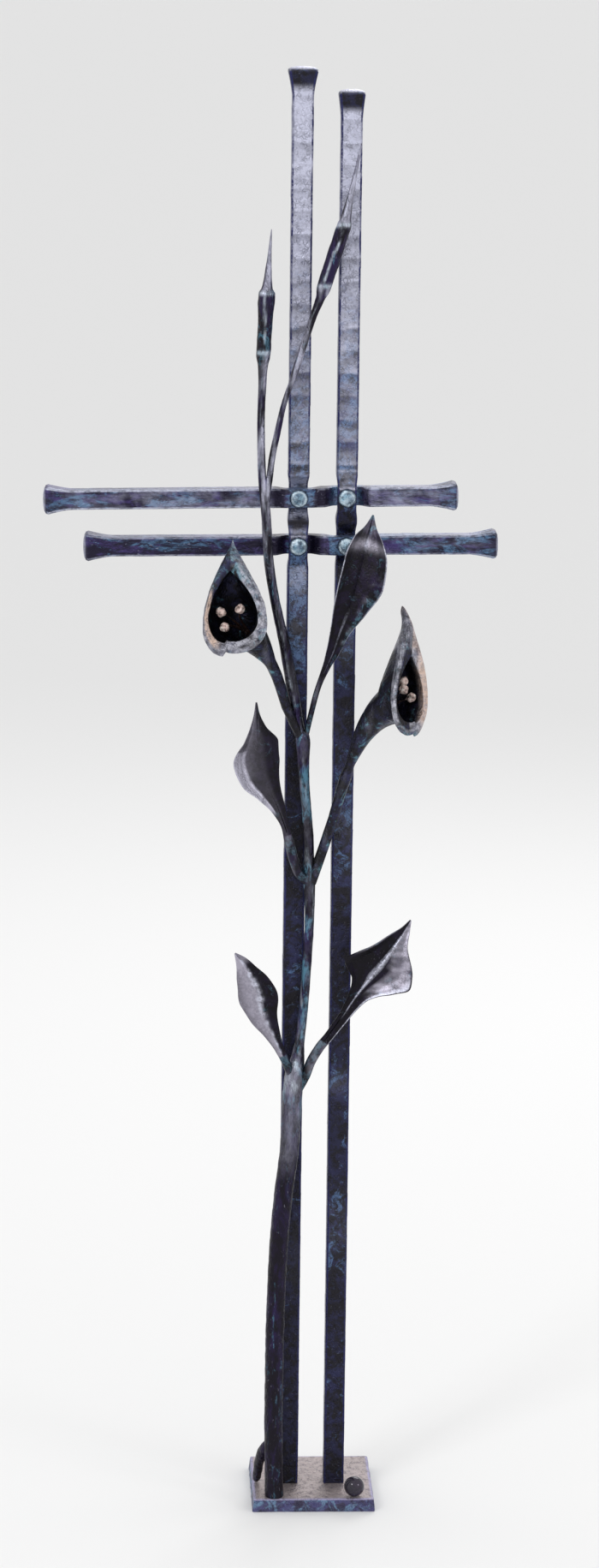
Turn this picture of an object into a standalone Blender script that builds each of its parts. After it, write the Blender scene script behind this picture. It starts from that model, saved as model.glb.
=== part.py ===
"""A forged iron grave cross: two square uprights and two crossbars woven together and riveted, standing on
a plate, with a plant of two callas, four leaves and two bulrushes growing up its front.

Units are metres, +Z is up, +X is to the right and -Y is the front. The origin is the middle of the plate's
underside. Every forged piece starts as a straight blank, cut into slices, and is then bent and spread.
"""

import math

import bmesh
import bpy
import numpy as np
from mathutils import Matrix, Vector

# Plate
PLATE_WIDTH = 0.122
PLATE_DEPTH = 0.121
PLATE_THICK = 0.0130
PLATE_TAPER = 0.0014
PLATE_WAVER = 0.0007
PLATE_POINTS = 40

# Square bars
UPRIGHT_SIDE = 0.0198
CROSSBAR_SIDE = 0.0182
BAR_EDGE = 0.0016
BAR_Y = -0.0065
HAMMER_STEP = 0.0450
HAMMER_DEPTH = 0.00028
UPRIGHT_LEFT_X = -0.0241
UPRIGHT_RIGHT_X = 0.0216
UPRIGHT_LEFT_HEIGHT = 1.3852
UPRIGHT_RIGHT_HEIGHT = 1.3645
CROSSBAR_UPPER_HEIGHT = 0.9868
CROSSBAR_LOWER_HEIGHT = 0.9410
CROSSBAR_UPPER_LEFT = -0.2622
CROSSBAR_UPPER_RIGHT = 0.1242
CROSSBAR_LOWER_LEFT = -0.2242
CROSSBAR_LOWER_RIGHT = 0.1628
CROSSBAR_UPPER_TILT = 0.88
CROSSBAR_LOWER_TILT = 0.62

# Upset ends of the bars
FLARE_LENGTH = 0.0240
FLARE_LEFT_WIDTH = 0.0282
FLARE_RIGHT_WIDTH = 0.0248
FLARE_CROSSBAR_WIDTH = 0.0266
DOME_HEIGHT = 0.0036

# Crossings and rivets
CROSSING_THICK = 0.0130
CROSSING_WIDTH = 0.0178
SEAT_MARGIN = 0.0012
GAP = 0.0003
RIVET_SHANK = 0.0040
RIVET_HEAD = 0.0090
RIVET_HEIGHT = 0.0048
RIVET_SIDES = 10

# Plant
STEM_SIDES = 10
STEM_STEP = 0.034
LEAF_SIDES = 12
LEAF_STEP = 0.0125
LEAF_THICK = 0.0026
SPATHE_SIDES = 18
SPATHE_WALL = 0.0024
SPATHE_THROAT_SHARE = 0.7
SPATHE_NECK_SHARE = 0.18
SPATHE_BEND_SHARE = 0.45
SPATHE_HOOK_SHARE = 0.6
SPATHE_STEPS = 12
BULRUSH_SIDES = 8
BULRUSH_STEP = 0.026
BULRUSH_HEAD = 0.0068
BULRUSH_STEM = 0.0036
STAMEN_KNOB = 0.0050
STAMEN_ROD = 0.0016
STAMEN_SIDES = 6
BALL_RADIUS = 0.0100
BALL_SIDES = 12
BALL_X = 0.0402
BALL_Y = -0.0500
BALL_SEAT = 0.0005

# Places worked out from the sizes above
plate_top = PLATE_THICK
crossing_front = BAR_Y - CROSSING_THICK - GAP / 2
crossing_back = BAR_Y + CROSSING_THICK + GAP / 2
front_face = min(crossing_front, BAR_Y - UPRIGHT_SIDE / 2, BAR_Y - CROSSBAR_SIDE / 2)
upright_middle = (UPRIGHT_LEFT_X + UPRIGHT_RIGHT_X) / 2
hammer = np.random.default_rng(7)


def clear_scene():
    for item in list(bpy.data.objects):
        bpy.data.objects.remove(item, do_unlink=True)


def iron(name, color, roughness, metallic):
    """A plain material with the finish that the piece shows."""
    material = bpy.data.materials.new(name)
    material.use_nodes = True
    shader = material.node_tree.nodes["Principled BSDF"]
    shader.inputs["Base Color"].default_value = (*color, 1.0)
    shader.inputs["Roughness"].default_value = roughness
    shader.inputs["Metallic"].default_value = metallic
    material.diffuse_color = (*color, 1.0)
    return material


def finish(bm, name, material, sharp=35.0):
    """Turns a closed bmesh into a named object with outward normals."""
    bmesh.ops.recalc_face_normals(bm, faces=bm.faces[:])
    if bm.calc_volume(signed=True) < 0.0:
        bmesh.ops.reverse_faces(bm, faces=bm.faces[:])
    mesh = bpy.data.meshes.new(name)
    bm.to_mesh(mesh)
    bm.free()
    mesh.shade_smooth()
    mesh.set_sharp_from_angle(angle=math.radians(sharp))
    item = bpy.data.objects.new(name, mesh)
    bpy.context.scene.collection.objects.link(item)
    if material is not None:
        item.data.materials.append(material)
    return item


def as_guide(item):
    """Hides a cutter or a guide from the render."""
    item.hide_render = True
    item.display_type = "WIRE"
    return item


def boolean(item, other, operation):
    change = item.modifiers.new(operation.lower() + "_" + other.name, "BOOLEAN")
    change.object = other
    change.operation = operation
    change.solver = "EXACT"


def smoothstep(share):
    share = min(max(share, 0.0), 1.0)
    return share * share * (3.0 - 2.0 * share)


def blank(sides, slices):
    """A closed round rod of radius 1 from z = 0 to 1, cut across into slices."""
    bm = bmesh.new()
    bmesh.ops.create_cone(bm, cap_ends=True, segments=sides, radius1=1.0, radius2=1.0, depth=1.0)
    bmesh.ops.translate(bm, verts=bm.verts[:], vec=(0.0, 0.0, 0.5))
    along = [edge for edge in bm.edges if abs(edge.verts[0].co.z - edge.verts[1].co.z) > 0.5]
    if slices > 1:
        bmesh.ops.subdivide_edges(bm, edges=along, cuts=slices - 1)
    return bm


def forge(bm, slices, place):
    """Moves each point of a blank to place(slice number, angle round the rod)."""
    for vert in bm.verts:
        number = round(vert.co.z * slices)
        vert.co = place(number, math.atan2(vert.co.y, vert.co.x))


def steady_slopes(values, knots):
    """Slopes that keep a run of widths from swelling between its points."""
    secant = np.diff(values, axis=0) / np.diff(knots)[:, None]
    slopes = np.vstack([secant[:1], np.zeros_like(secant[1:]), secant[-1:]])
    before = secant[:-1]
    after = secant[1:]
    same = before * after > 0.0
    total = np.where(same, before + after, 1.0)
    slopes[1:-1] = np.where(same, 2.0 * before * after / total, 0.0)
    return slopes


def curve_through(rows, spacing):
    """Samples of a smooth curve: one at each row, and more between rows that lie further apart than spacing.
    The first three columns of a row are its place, and the rest are widths there."""
    rows = np.array(rows, dtype=float)
    steps = np.linalg.norm(np.diff(rows[:, :3], axis=0), axis=1)
    knots = np.concatenate([[0.0], np.cumsum(steps)])
    slopes = np.hstack([np.gradient(rows[:, :3], knots, axis=0), steady_slopes(rows[:, 3:], knots)])
    samples = [rows[0]]
    for number, step in enumerate(steps):
        pieces = max(1, math.ceil(step / spacing))
        for piece in range(1, pieces + 1):
            share = piece / pieces
            start = (2 * share**3 - 3 * share**2 + 1) * rows[number]
            start_pull = (share**3 - 2 * share**2 + share) * step * slopes[number]
            end = (3 * share**2 - 2 * share**3) * rows[number + 1]
            end_pull = (share**3 - share**2) * step * slopes[number + 1]
            samples.append(start + start_pull + end + end_pull)
    return np.array(samples)


def tangents_of(samples):
    places = [Vector(tuple(row)[:3]) for row in samples]
    last = len(places) - 1
    return [(places[min(i + 1, last)] - places[max(i - 1, 0)]).normalized() for i in range(last + 1)]


def plant_point(x, ahead, height):
    """A place given by how far it lies in front of the woven bars and how high above the plate."""
    return (x, front_face - ahead, plate_top + height)


def plant_rows(rows):
    return [plant_point(*row[:3]) + tuple(row[3:]) for row in rows]


def round_rod(name, rows, material, sides, spacing, grow=0.0):
    """A round rod drawn along rows of place and radius. grow makes it fatter, for coping what meets it."""
    samples = curve_through(rows, spacing)
    ahead = tangents_of(samples)
    slices = len(samples) - 1

    def place(number, angle):
        forward = ahead[number]
        front = Vector((0.0, -1.0, 0.0))
        front = (front - forward * front.dot(forward)).normalized()
        side = forward.cross(front)
        radius = samples[number][3] + grow
        at = Vector(samples[number][:3])
        if grow and number in (0, slices):
            at += forward * (grow if number else -grow)
        return at + side * (radius * math.cos(angle)) + front * (radius * math.sin(angle))

    bm = blank(sides, slices)
    forge(bm, slices, place)
    return finish(bm, name, material)


def base_plate(material):
    """The plate: a square outline pushed up, drawn in a little at the top, with the waver of hammered edges."""
    bm = bmesh.new()
    bmesh.ops.create_circle(bm, cap_ends=True, segments=PLATE_POINTS, radius=1.0)
    rim = bm.verts[:]
    bmesh.ops.extrude_face_region(bm, geom=bm.faces[:], use_keep_orig=True)
    for vert in bm.verts:
        inset = hammer.uniform(0.0, PLATE_WAVER) + (0.0 if vert in rim else PLATE_TAPER)
        angle = math.atan2(vert.co.y, vert.co.x)
        reach = max(abs(math.cos(angle)), abs(math.sin(angle)))
        across = (PLATE_WIDTH / 2 - inset) * math.cos(angle) / reach
        deep = (PLATE_DEPTH / 2 - inset) * math.sin(angle) / reach
        vert.co = (across, deep, 0.0 if vert in rim else PLATE_THICK)
    return finish(bm, "base_plate", material)


def square_bar(name, length, side, crossings, flares, seat_width, material, place):
    """A square bar from 0 to length: (along, across, depth). crossings holds (where, which way it steps, half
    of the other bar's width, half the distance to its neighbour), and flares holds an end's width or None."""
    bm = bmesh.new()
    bmesh.ops.create_cube(bm, size=1.0)
    bmesh.ops.scale(bm, verts=bm.verts[:], vec=(length, side, side))
    bmesh.ops.translate(bm, verts=bm.verts[:], vec=(length / 2, 0.0, 0.0))
    long_edges = [edge for edge in bm.edges if abs(edge.verts[0].co.x - edge.verts[1].co.x) > length / 2]
    bmesh.ops.bevel(
        bm, geom=long_edges, offset=BAR_EDGE, segments=1, profile=0.5, affect="EDGES", material=-1
    )
    cuts = set()
    blows = max(2, round(length / HAMMER_STEP))
    for number in range(1, blows):
        cuts.add(round(length * number / blows, 5))
    for where, _, half, reach in crossings:
        seat = half + SEAT_MARGIN
        cuts = {cut for cut in cuts if abs(cut - where) > reach}
        for offset in (-reach, -(seat + reach) / 2, -seat, seat, (seat + reach) / 2, reach):
            cuts.add(round(where + offset, 5))
    for at_start, width in zip((True, False), flares):
        if width is None:
            continue
        cuts = {cut for cut in cuts if (cut if at_start else length - cut) > FLARE_LENGTH * 1.15}
        for share in (0.22, 0.5, 1.0):
            cut = FLARE_LENGTH * share
            cuts.add(round(cut if at_start else length - cut, 5))
    cuts = sorted(cuts)
    merged = [cuts[0]]
    for cut in cuts[1:]:
        if cut - merged[-1] > GAP:
            merged.append(cut)
    for cut in merged:
        bmesh.ops.bisect_plane(
            bm, geom=bm.verts[:] + bm.edges[:] + bm.faces[:], plane_co=(cut, 0, 0), plane_no=(1, 0, 0)
        )
    blow = {0.0: (0.0, 0.0), length: (0.0, 0.0)}
    for cut in merged:
        blow[cut] = tuple(hammer.uniform(-HAMMER_DEPTH, HAMMER_DEPTH, 2))
    for vert in bm.verts:
        along, across, depth = vert.co
        nearest = min(blow, key=lambda cut: abs(cut - along))
        across *= 1.0 + 2.0 * blow[nearest][0] / side
        depth *= 1.0 + 2.0 * blow[nearest][1] / side
        for at_start, width in zip((True, False), flares):
            if width is None:
                continue
            share = 1.0 - (along if at_start else length - along) / FLARE_LENGTH
            spread = 1.0 + (width / side - 1.0) * max(share, 0.0) ** 1.4
            across *= spread
            depth *= spread
        for where, way, half, reach in crossings:
            seat = half + SEAT_MARGIN
            weight = smoothstep((reach - abs(along - where)) / (reach - seat))
            if weight <= 0.0:
                continue
            across *= 1.0 + (seat_width / side - 1.0) * weight
            flat = math.copysign(CROSSING_THICK / 2, depth)
            depth += (flat - depth) * weight if abs(depth) > side / 2 - BAR_EDGE / 2 else 0.0
            depth = math.copysign(min(abs(depth), abs(depth) * (1 - weight) + CROSSING_THICK / 2 * weight), depth)
            depth += way * (CROSSING_THICK + GAP) / 2 * weight
        vert.co = (along, across, depth)
    bm.normal_update()
    for face in [face for face in bm.faces if abs(face.normal.x) > 0.99]:
        at_start = face.calc_center_median().x < length / 2
        if flares[0 if at_start else 1] is None:
            continue
        cap = face
        for width, rise in ((0.80, 0.65), (0.55 / 0.80, 0.35)):
            cap = bmesh.ops.extrude_discrete_faces(bm, faces=[cap])["faces"][0]
            middle = cap.calc_center_median()
            for vert in cap.verts:
                vert.co = middle + (vert.co - middle) * width
                vert.co.x += DOME_HEIGHT * rise * (-1.0 if at_start else 1.0)
    for vert in bm.verts:
        vert.co = place(*vert.co)
    return finish(bm, name, material, sharp=20.0)


def upright_frame(x):
    return lambda along, across, depth: Vector((x + across, BAR_Y + depth, plate_top + GAP + along))


def crossbar_frame(left, height, tilt):
    """Lays a bar along X, turned by its tilt about the middle of the uprights."""
    centre = Vector((upright_middle, BAR_Y, plate_top + height))
    turn = Matrix.Rotation(math.radians(-tilt), 3, "Y")
    start = left - upright_middle
    return lambda along, across, depth: centre + turn @ Vector((start + along, depth, across))


def crossing_heights():
    """Height above the plate of each crossing, by crossbar and upright."""
    found = {}
    for row, height, tilt in (
        ("upper", CROSSBAR_UPPER_HEIGHT, CROSSBAR_UPPER_TILT),
        ("lower", CROSSBAR_LOWER_HEIGHT, CROSSBAR_LOWER_TILT),
    ):
        for column, x in (("left", UPRIGHT_LEFT_X), ("right", UPRIGHT_RIGHT_X)):
            found[row, column] = height + (x - upright_middle) * math.tan(math.radians(tilt))
    return found


def cross_bars(material):
    """The four bars, woven: the upright passes behind the crossbar at the upper left and the lower right."""
    heights = crossing_heights()
    rise = abs(CROSSBAR_UPPER_HEIGHT - CROSSBAR_LOWER_HEIGHT)
    run = abs(UPRIGHT_RIGHT_X - UPRIGHT_LEFT_X)
    upright_way = {("upper", "left"): 1, ("lower", "left"): -1, ("upper", "right"): -1, ("lower", "right"): 1}
    bars = []
    for column, x, height, flare in (
        ("left", UPRIGHT_LEFT_X, UPRIGHT_LEFT_HEIGHT, FLARE_LEFT_WIDTH),
        ("right", UPRIGHT_RIGHT_X, UPRIGHT_RIGHT_HEIGHT, FLARE_RIGHT_WIDTH),
    ):
        crossings = [
            (heights[row, column] - GAP, upright_way[row, column], CROSSBAR_SIDE / 2, rise / 2 - GAP)
            for row in ("lower", "upper")
        ]
        bars.append(
            square_bar(
                "upright_" + column,
                height,
                UPRIGHT_SIDE,
                crossings,
                (None, flare),
                CROSSING_WIDTH,
                material,
                upright_frame(x),
            )
        )
    for row, left, right, height, tilt in (
        ("upper", CROSSBAR_UPPER_LEFT, CROSSBAR_UPPER_RIGHT, CROSSBAR_UPPER_HEIGHT, CROSSBAR_UPPER_TILT),
        ("lower", CROSSBAR_LOWER_LEFT, CROSSBAR_LOWER_RIGHT, CROSSBAR_LOWER_HEIGHT, CROSSBAR_LOWER_TILT),
    ):
        crossings = [
            (x - left, -upright_way[row, column], UPRIGHT_SIDE / 2, run / 2 - GAP)
            for column, x in (("left", UPRIGHT_LEFT_X), ("right", UPRIGHT_RIGHT_X))
        ]
        bars.append(
            square_bar(
                "crossbar_" + row,
                right - left,
                CROSSBAR_SIDE,
                crossings,
                (FLARE_CROSSBAR_WIDTH, FLARE_CROSSBAR_WIDTH),
                min(CROSSING_WIDTH, CROSSBAR_SIDE),
                material,
                crossbar_frame(left, height, tilt),
            )
        )
    return {bar.name: bar for bar in bars}


def rivets(bars, material):
    """One rivet through each crossing, a head on each side, and its hole through both bars."""
    columns = {"left": UPRIGHT_LEFT_X, "right": UPRIGHT_RIGHT_X}
    half = crossing_back - BAR_Y + GAP
    for (row, column), height in crossing_heights().items():
        place = Vector((columns[column], BAR_Y, plate_top + height))
        profile = [
            (0.0, -half - RIVET_HEIGHT),
            (RIVET_HEAD * 0.46, -half - RIVET_HEIGHT),
            (RIVET_HEAD * 0.88, -half - RIVET_HEIGHT * 0.55),
            (RIVET_HEAD, -half),
            (RIVET_SHANK, -half),
            (RIVET_SHANK, half),
            (RIVET_HEAD, half),
            (RIVET_HEAD * 0.88, half + RIVET_HEIGHT * 0.55),
            (RIVET_HEAD * 0.46, half + RIVET_HEIGHT),
            (0.0, half + RIVET_HEIGHT),
        ]
        bm = bmesh.new()
        line = [bm.verts.new((radius, depth, 0.0)) for radius, depth in profile]
        edges = [bm.edges.new(pair) for pair in zip(line, line[1:])]
        bmesh.ops.spin(
            bm,
            geom=line + edges,
            cent=(0, 0, 0),
            axis=(0, 1, 0),
            angle=math.tau,
            steps=RIVET_SIDES,
            use_merge=True,
        )
        bmesh.ops.remove_doubles(bm, verts=bm.verts[:], dist=1e-6)
        bmesh.ops.translate(bm, verts=bm.verts[:], vec=place)
        finish(bm, f"rivet_{row}_{column}", material, sharp=15.0)

        cutter = bmesh.new()
        bmesh.ops.create_cone(
            cutter,
            cap_ends=True,
            segments=12,
            radius1=RIVET_SHANK + GAP,
            radius2=RIVET_SHANK + GAP,
            depth=4 * half,
            matrix=Matrix.Translation(place) @ Matrix.Rotation(math.pi / 2, 4, "X"),
        )
        hole = as_guide(finish(cutter, f"hole_{row}_{column}", None))
        boolean(bars["upright_" + column], hole, "DIFFERENCE")
        boolean(bars["crossbar_" + row], hole, "DIFFERENCE")


# Main stem: sideways place, distance ahead of the bars, height above the plate, radius
MAIN_STEM = [
    (-0.0386, 0.0284, 0.0003, 0.0096),
    (-0.0392, 0.0283, 0.0200, 0.0091),
    (-0.0400, 0.0272, 0.0900, 0.0092),
    (-0.0396, 0.0250, 0.1560, 0.0092),
    (-0.0381, 0.0222, 0.2160, 0.0093),
    (-0.0360, 0.0196, 0.2620, 0.0093),
    (-0.0315, 0.0164, 0.3140, 0.0093),
    (-0.0272, 0.0136, 0.3480, 0.0095),
    (-0.0250, 0.0118, 0.3910, 0.0098),
    (-0.0228, 0.0108, 0.4220, 0.0098),
    (-0.0198, 0.0085, 0.4400, 0.0070),
    (-0.0176, 0.0064, 0.4580, 0.0048),
    (-0.0148, 0.0051, 0.4840, 0.0045),
    (-0.0118, 0.0049, 0.5300, 0.0045),
    (-0.0097, 0.0050, 0.5720, 0.0046),
    (-0.0096, 0.0056, 0.5980, 0.0051),
    (-0.0104, 0.0064, 0.6160, 0.0060),
    (-0.0108, 0.0062, 0.6320, 0.0056),
    (-0.0108, 0.0054, 0.6520, 0.0048),
    (-0.0128, 0.0053, 0.6780, 0.0048),
    (-0.0156, 0.0056, 0.7080, 0.0049),
    (-0.0172, 0.0068, 0.7350, 0.0058),
    (-0.0178, 0.0076, 0.7520, 0.0070),
    (-0.0184, 0.0076, 0.7600, 0.0064),
    (-0.0190, 0.0076, 0.7640, 0.0040),
]
ROOT_TOE = [
    (-0.0392, 0.0283, 0.0560, 0.0050),
    (-0.0468, 0.0240, 0.0500, 0.0052),
    (-0.0520, 0.0140, 0.0340, 0.0050),
    (-0.0545, 0.0020, 0.0150, 0.0046),
    (-0.0550, -0.0060, 0.0049, 0.0042),
    (-0.0548, -0.0100, 0.0032, 0.0028),
]


def main_stem(material):
    """The thick stem with its swollen forks, and the root-like toe forged out of its foot."""
    stem = round_rod("main_stem", plant_rows(MAIN_STEM), material, STEM_SIDES, STEM_STEP)
    toe = as_guide(round_rod("root_toe", plant_rows(ROOT_TOE), None, BULRUSH_SIDES, BULRUSH_STEP))
    boolean(stem, toe, "UNION")
    return stem


def stem_cutter():
    return as_guide(round_rod("main_stem_cutter", plant_rows(MAIN_STEM), None, STEM_SIDES, STEM_STEP, grow=GAP))


# Bulrushes, as shares of the stem's and the head's own radius
BULRUSH_LEFT = [
    (-0.0186, 0.0078, 0.7560, 1.25),
    (-0.0222, 0.0074, 0.7690, 1.40),
    (-0.0256, 0.0073, 0.7890, 1.50),
    (-0.0295, 0.0074, 0.8110, 1.60),
    (-0.0374, 0.0072, 0.8520, 1.45),
    (-0.0466, 0.0070, 0.8930, 1.28),
    (-0.0524, 0.0070, 0.9300, 1.30),
    (-0.0552, 0.0068, 0.9700, 1.30),
    (-0.0592, 0.0064, 1.0080, 1.10),
    (-0.0606, 0.0058, 1.0400, 1.05),
    (-0.0606, 0.0056, 1.0720, 1.02),
    (-0.0598, 0.0056, 1.0960, 1.10),
    (-0.0596, 0.0056, 1.1120, 1.36),
]
BULRUSH_LEFT_TOP = (-0.0566, 0.0062, 1.1810)
BULRUSH_LEFT_TIP = (-0.0528, 0.0090, 1.2400)
BULRUSH_RIGHT = [
    (-0.0552, 0.0072, 0.9860, 0.80),
    (-0.0525, 0.0076, 1.0060, 0.88),
    (-0.0502, 0.0080, 1.0260, 0.88),
    (-0.0450, 0.0084, 1.0520, 0.86),
    (-0.0390, 0.0088, 1.0790, 0.72),
    (-0.0328, 0.0090, 1.0970, 0.76),
    (-0.0284, 0.0092, 1.1110, 0.92),
    (-0.0188, 0.0096, 1.1420, 0.94),
    (-0.0136, 0.0098, 1.1580, 0.96),
    (-0.0068, 0.0100, 1.1760, 1.24),
]
BULRUSH_RIGHT_TOP = (0.0150, 0.0104, 1.2450)
BULRUSH_RIGHT_TIP = (0.0300, 0.0110, 1.3200)


def bulrush_rows(stem, top, tip, slope):
    """Adds the head and its long point to a stem: a shoulder, a drum that widens upwards, and a spike."""
    rows = [(*row[:3], row[3] * BULRUSH_STEM) for row in stem]
    base = Vector(stem[-1][:3])
    head = Vector(top)
    lift = (head - base).normalized()
    start = base + lift * 0.0090
    for place, radius in (
        (start, 0.98),
        (start.lerp(head, 0.08), 1.02),
        (start.lerp(head, 0.55), 1.04),
        (start.lerp(head, 0.88), 1.04 + slope),
        (head, 1.02 + slope),
    ):
        rows.append((*place, radius * BULRUSH_HEAD))
    for share, radius in ((0.06, 0.80), (0.30, 0.50), (0.62, 0.27), (0.88, 0.14), (1.0, 0.05)):
        rows.append((*head.lerp(Vector(tip), share), radius * BULRUSH_HEAD))
    return plant_rows(rows)


def bulrushes(material):
    """Two bulrushes. The right one is welded to the left one's stem, and the left one to the main stem."""
    left_rows = bulrush_rows(BULRUSH_LEFT, BULRUSH_LEFT_TOP, BULRUSH_LEFT_TIP, 0.16)
    right_rows = bulrush_rows(BULRUSH_RIGHT, BULRUSH_RIGHT_TOP, BULRUSH_RIGHT_TIP, -0.02)
    left = round_rod("bulrush_left", left_rows, material, BULRUSH_SIDES, BULRUSH_STEP)
    right = round_rod("bulrush_right", right_rows, material, BULRUSH_SIDES, BULRUSH_STEP)
    cutter = as_guide(round_rod("bulrush_cutter", left_rows, None, BULRUSH_SIDES, BULRUSH_STEP, grow=GAP))
    boolean(right, cutter, "DIFFERENCE")
    return left, cutter


# Leaves: sideways place, distance ahead, height, left half width, right half width. A half width of None is
# the round stalk. facing turns the blade, fold is how far its halves lift, and lip how far its edges curl.
LEAVES = {
    "leaf_upper_right": {
        "stalk": 0.0027,
        "rows": [
            (-0.0172, 0.0078, 0.7500, None, None),
            (-0.0145, 0.0095, 0.7640, None, None),
            (-0.0112, 0.0120, 0.7800, None, None),
            (-0.0040, 0.0170, 0.8100, None, None),
            (0.0035, 0.0205, 0.8300, 0.0042, 0.0036),
            (0.0085, 0.0225, 0.8420, 0.0066, 0.0054),
            (0.0152, 0.0245, 0.8630, 0.0098, 0.0086),
            (0.0240, 0.0255, 0.8880, 0.0155, 0.0172),
            (0.0312, 0.0250, 0.9120, 0.0178, 0.0248),
            (0.0362, 0.0225, 0.9320, 0.0180, 0.0224),
            (0.0395, 0.0190, 0.9490, 0.0135, 0.0155),
            (0.0428, 0.0150, 0.9620, 0.0050, 0.0060),
            (0.0457, 0.0115, 0.9730, 0.0008, 0.0008),
        ],
        "facing": (0.0, -1.0, 0.12),
        "fold": 0.34,
        "lip": 0.16,
    },
    "leaf_middle_left": {
        "stalk": 0.0047,
        "rows": [
            (-0.0110, 0.0066, 0.6160, None, None),
            (-0.0205, 0.0100, 0.6260, None, None),
            (-0.0252, 0.0115, 0.6380, None, None),
            (-0.0300, 0.0125, 0.6560, None, None),
            (-0.0345, 0.0140, 0.6720, 0.0036, 0.0036),
            (-0.0412, 0.0165, 0.6900, 0.0068, 0.0070),
            (-0.0495, 0.0190, 0.7080, 0.0140, 0.0108),
            (-0.0562, 0.0205, 0.7240, 0.0232, 0.0156),
            (-0.0602, 0.0205, 0.7390, 0.0258, 0.0190),
            (-0.0616, 0.0185, 0.7560, 0.0135, 0.0190),
            (-0.0622, 0.0155, 0.7700, 0.0066, 0.0082),
            (-0.0626, 0.0120, 0.7820, 0.0026, 0.0028),
            (-0.0629, 0.0085, 0.7922, 0.0008, 0.0008),
        ],
        "facing": (0.10, -1.0, -0.05),
        "fold": 0.10,
        "lip": 0.30,
    },
    "leaf_lower_left": {
        "stalk": 0.0042,
        "rows": [
            (-0.0232, 0.0110, 0.4160, None, None),
            (-0.0268, 0.0135, 0.4280, None, None),
            (-0.0318, 0.0165, 0.4410, None, None),
            (-0.0372, 0.0190, 0.4530, 0.0050, 0.0044),
            (-0.0446, 0.0205, 0.4700, 0.0092, 0.0074),
            (-0.0520, 0.0215, 0.4870, 0.0158, 0.0124),
            (-0.0565, 0.0210, 0.5050, 0.0215, 0.0168),
            (-0.0612, 0.0190, 0.5190, 0.0192, 0.0132),
            (-0.0675, 0.0155, 0.5300, 0.0150, 0.0080),
            (-0.0745, 0.0115, 0.5390, 0.0074, 0.0050),
            (-0.0812, 0.0080, 0.5460, 0.0008, 0.0008),
        ],
        "facing": (-0.05, -1.0, 0.10),
        "fold": -0.30,
        "lip": 0.08,
    },
    "leaf_lower_right": {
        "stalk": 0.0046,
        "rows": [
            (-0.0205, 0.0110, 0.4080, None, None),
            (-0.0120, 0.0130, 0.4250, None, None),
            (-0.0068, 0.0150, 0.4400, None, None),
            (0.0010, 0.0165, 0.4540, None, None),
            (0.0098, 0.0180, 0.4675, 0.0042, 0.0052),
            (0.0228, 0.0200, 0.4870, 0.0046, 0.0064),
            (0.0360, 0.0215, 0.5085, 0.0092, 0.0104),
            (0.0432, 0.0218, 0.5185, 0.0165, 0.0165),
            (0.0505, 0.0220, 0.5280, 0.0365, 0.0262),
            (0.0575, 0.0212, 0.5370, 0.0300, 0.0340),
            (0.0645, 0.0200, 0.5460, 0.0215, 0.0285),
            (0.0755, 0.0165, 0.5610, 0.0118, 0.0100),
            (0.0825, 0.0130, 0.5715, 0.0042, 0.0047),
            (0.0878, 0.0100, 0.5795, 0.0008, 0.0008),
        ],
        "facing": (0.12, -1.0, 0.0),
        "fold": 0.30,
        "lip": 0.20,
    },
}


def leaf(name, shape, material, sides, spacing):
    """A stalk hammered out into a folded blade. Its section passes from a circle to a thin folded lens."""
    rows = []
    for x, ahead, height, left, right in shape["rows"]:
        if left is None:
            rows.append((x, ahead, height, shape["stalk"], shape["stalk"], shape["stalk"], 0.0))
        else:
            rows.append((x, ahead, height, left, right, LEAF_THICK / 2, 1.0))
    rows[-1] = (*rows[-1][:5], LEAF_THICK / 5, 1.0)
    samples = curve_through(plant_rows(rows), spacing)
    forward_at = tangents_of(samples)
    slices = len(samples) - 1

    def place(number, angle):
        row = samples[number]
        forward = forward_at[number]
        front = Vector(shape["facing"])
        front = (front - forward * front.dot(forward)).normalized()
        side = forward.cross(front)
        across = math.cos(angle)
        half = row[4] if across > 0.0 else row[3]
        flat = row[6]
        round_up = 1.0 - 0.45 * flat
        thick = row[5] * math.copysign(abs(math.sin(angle)) ** round_up, math.sin(angle))
        spread = abs(across)
        lift = shape["fold"] * spread * half + shape["lip"] * half * max(spread - 0.6, 0.0) / 0.4
        return Vector(row[:3]) + side * (across * half) + front * (thick + lift * flat)

    bm = blank(sides, slices)
    forge(bm, slices, place)
    return finish(bm, name, material)


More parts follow.
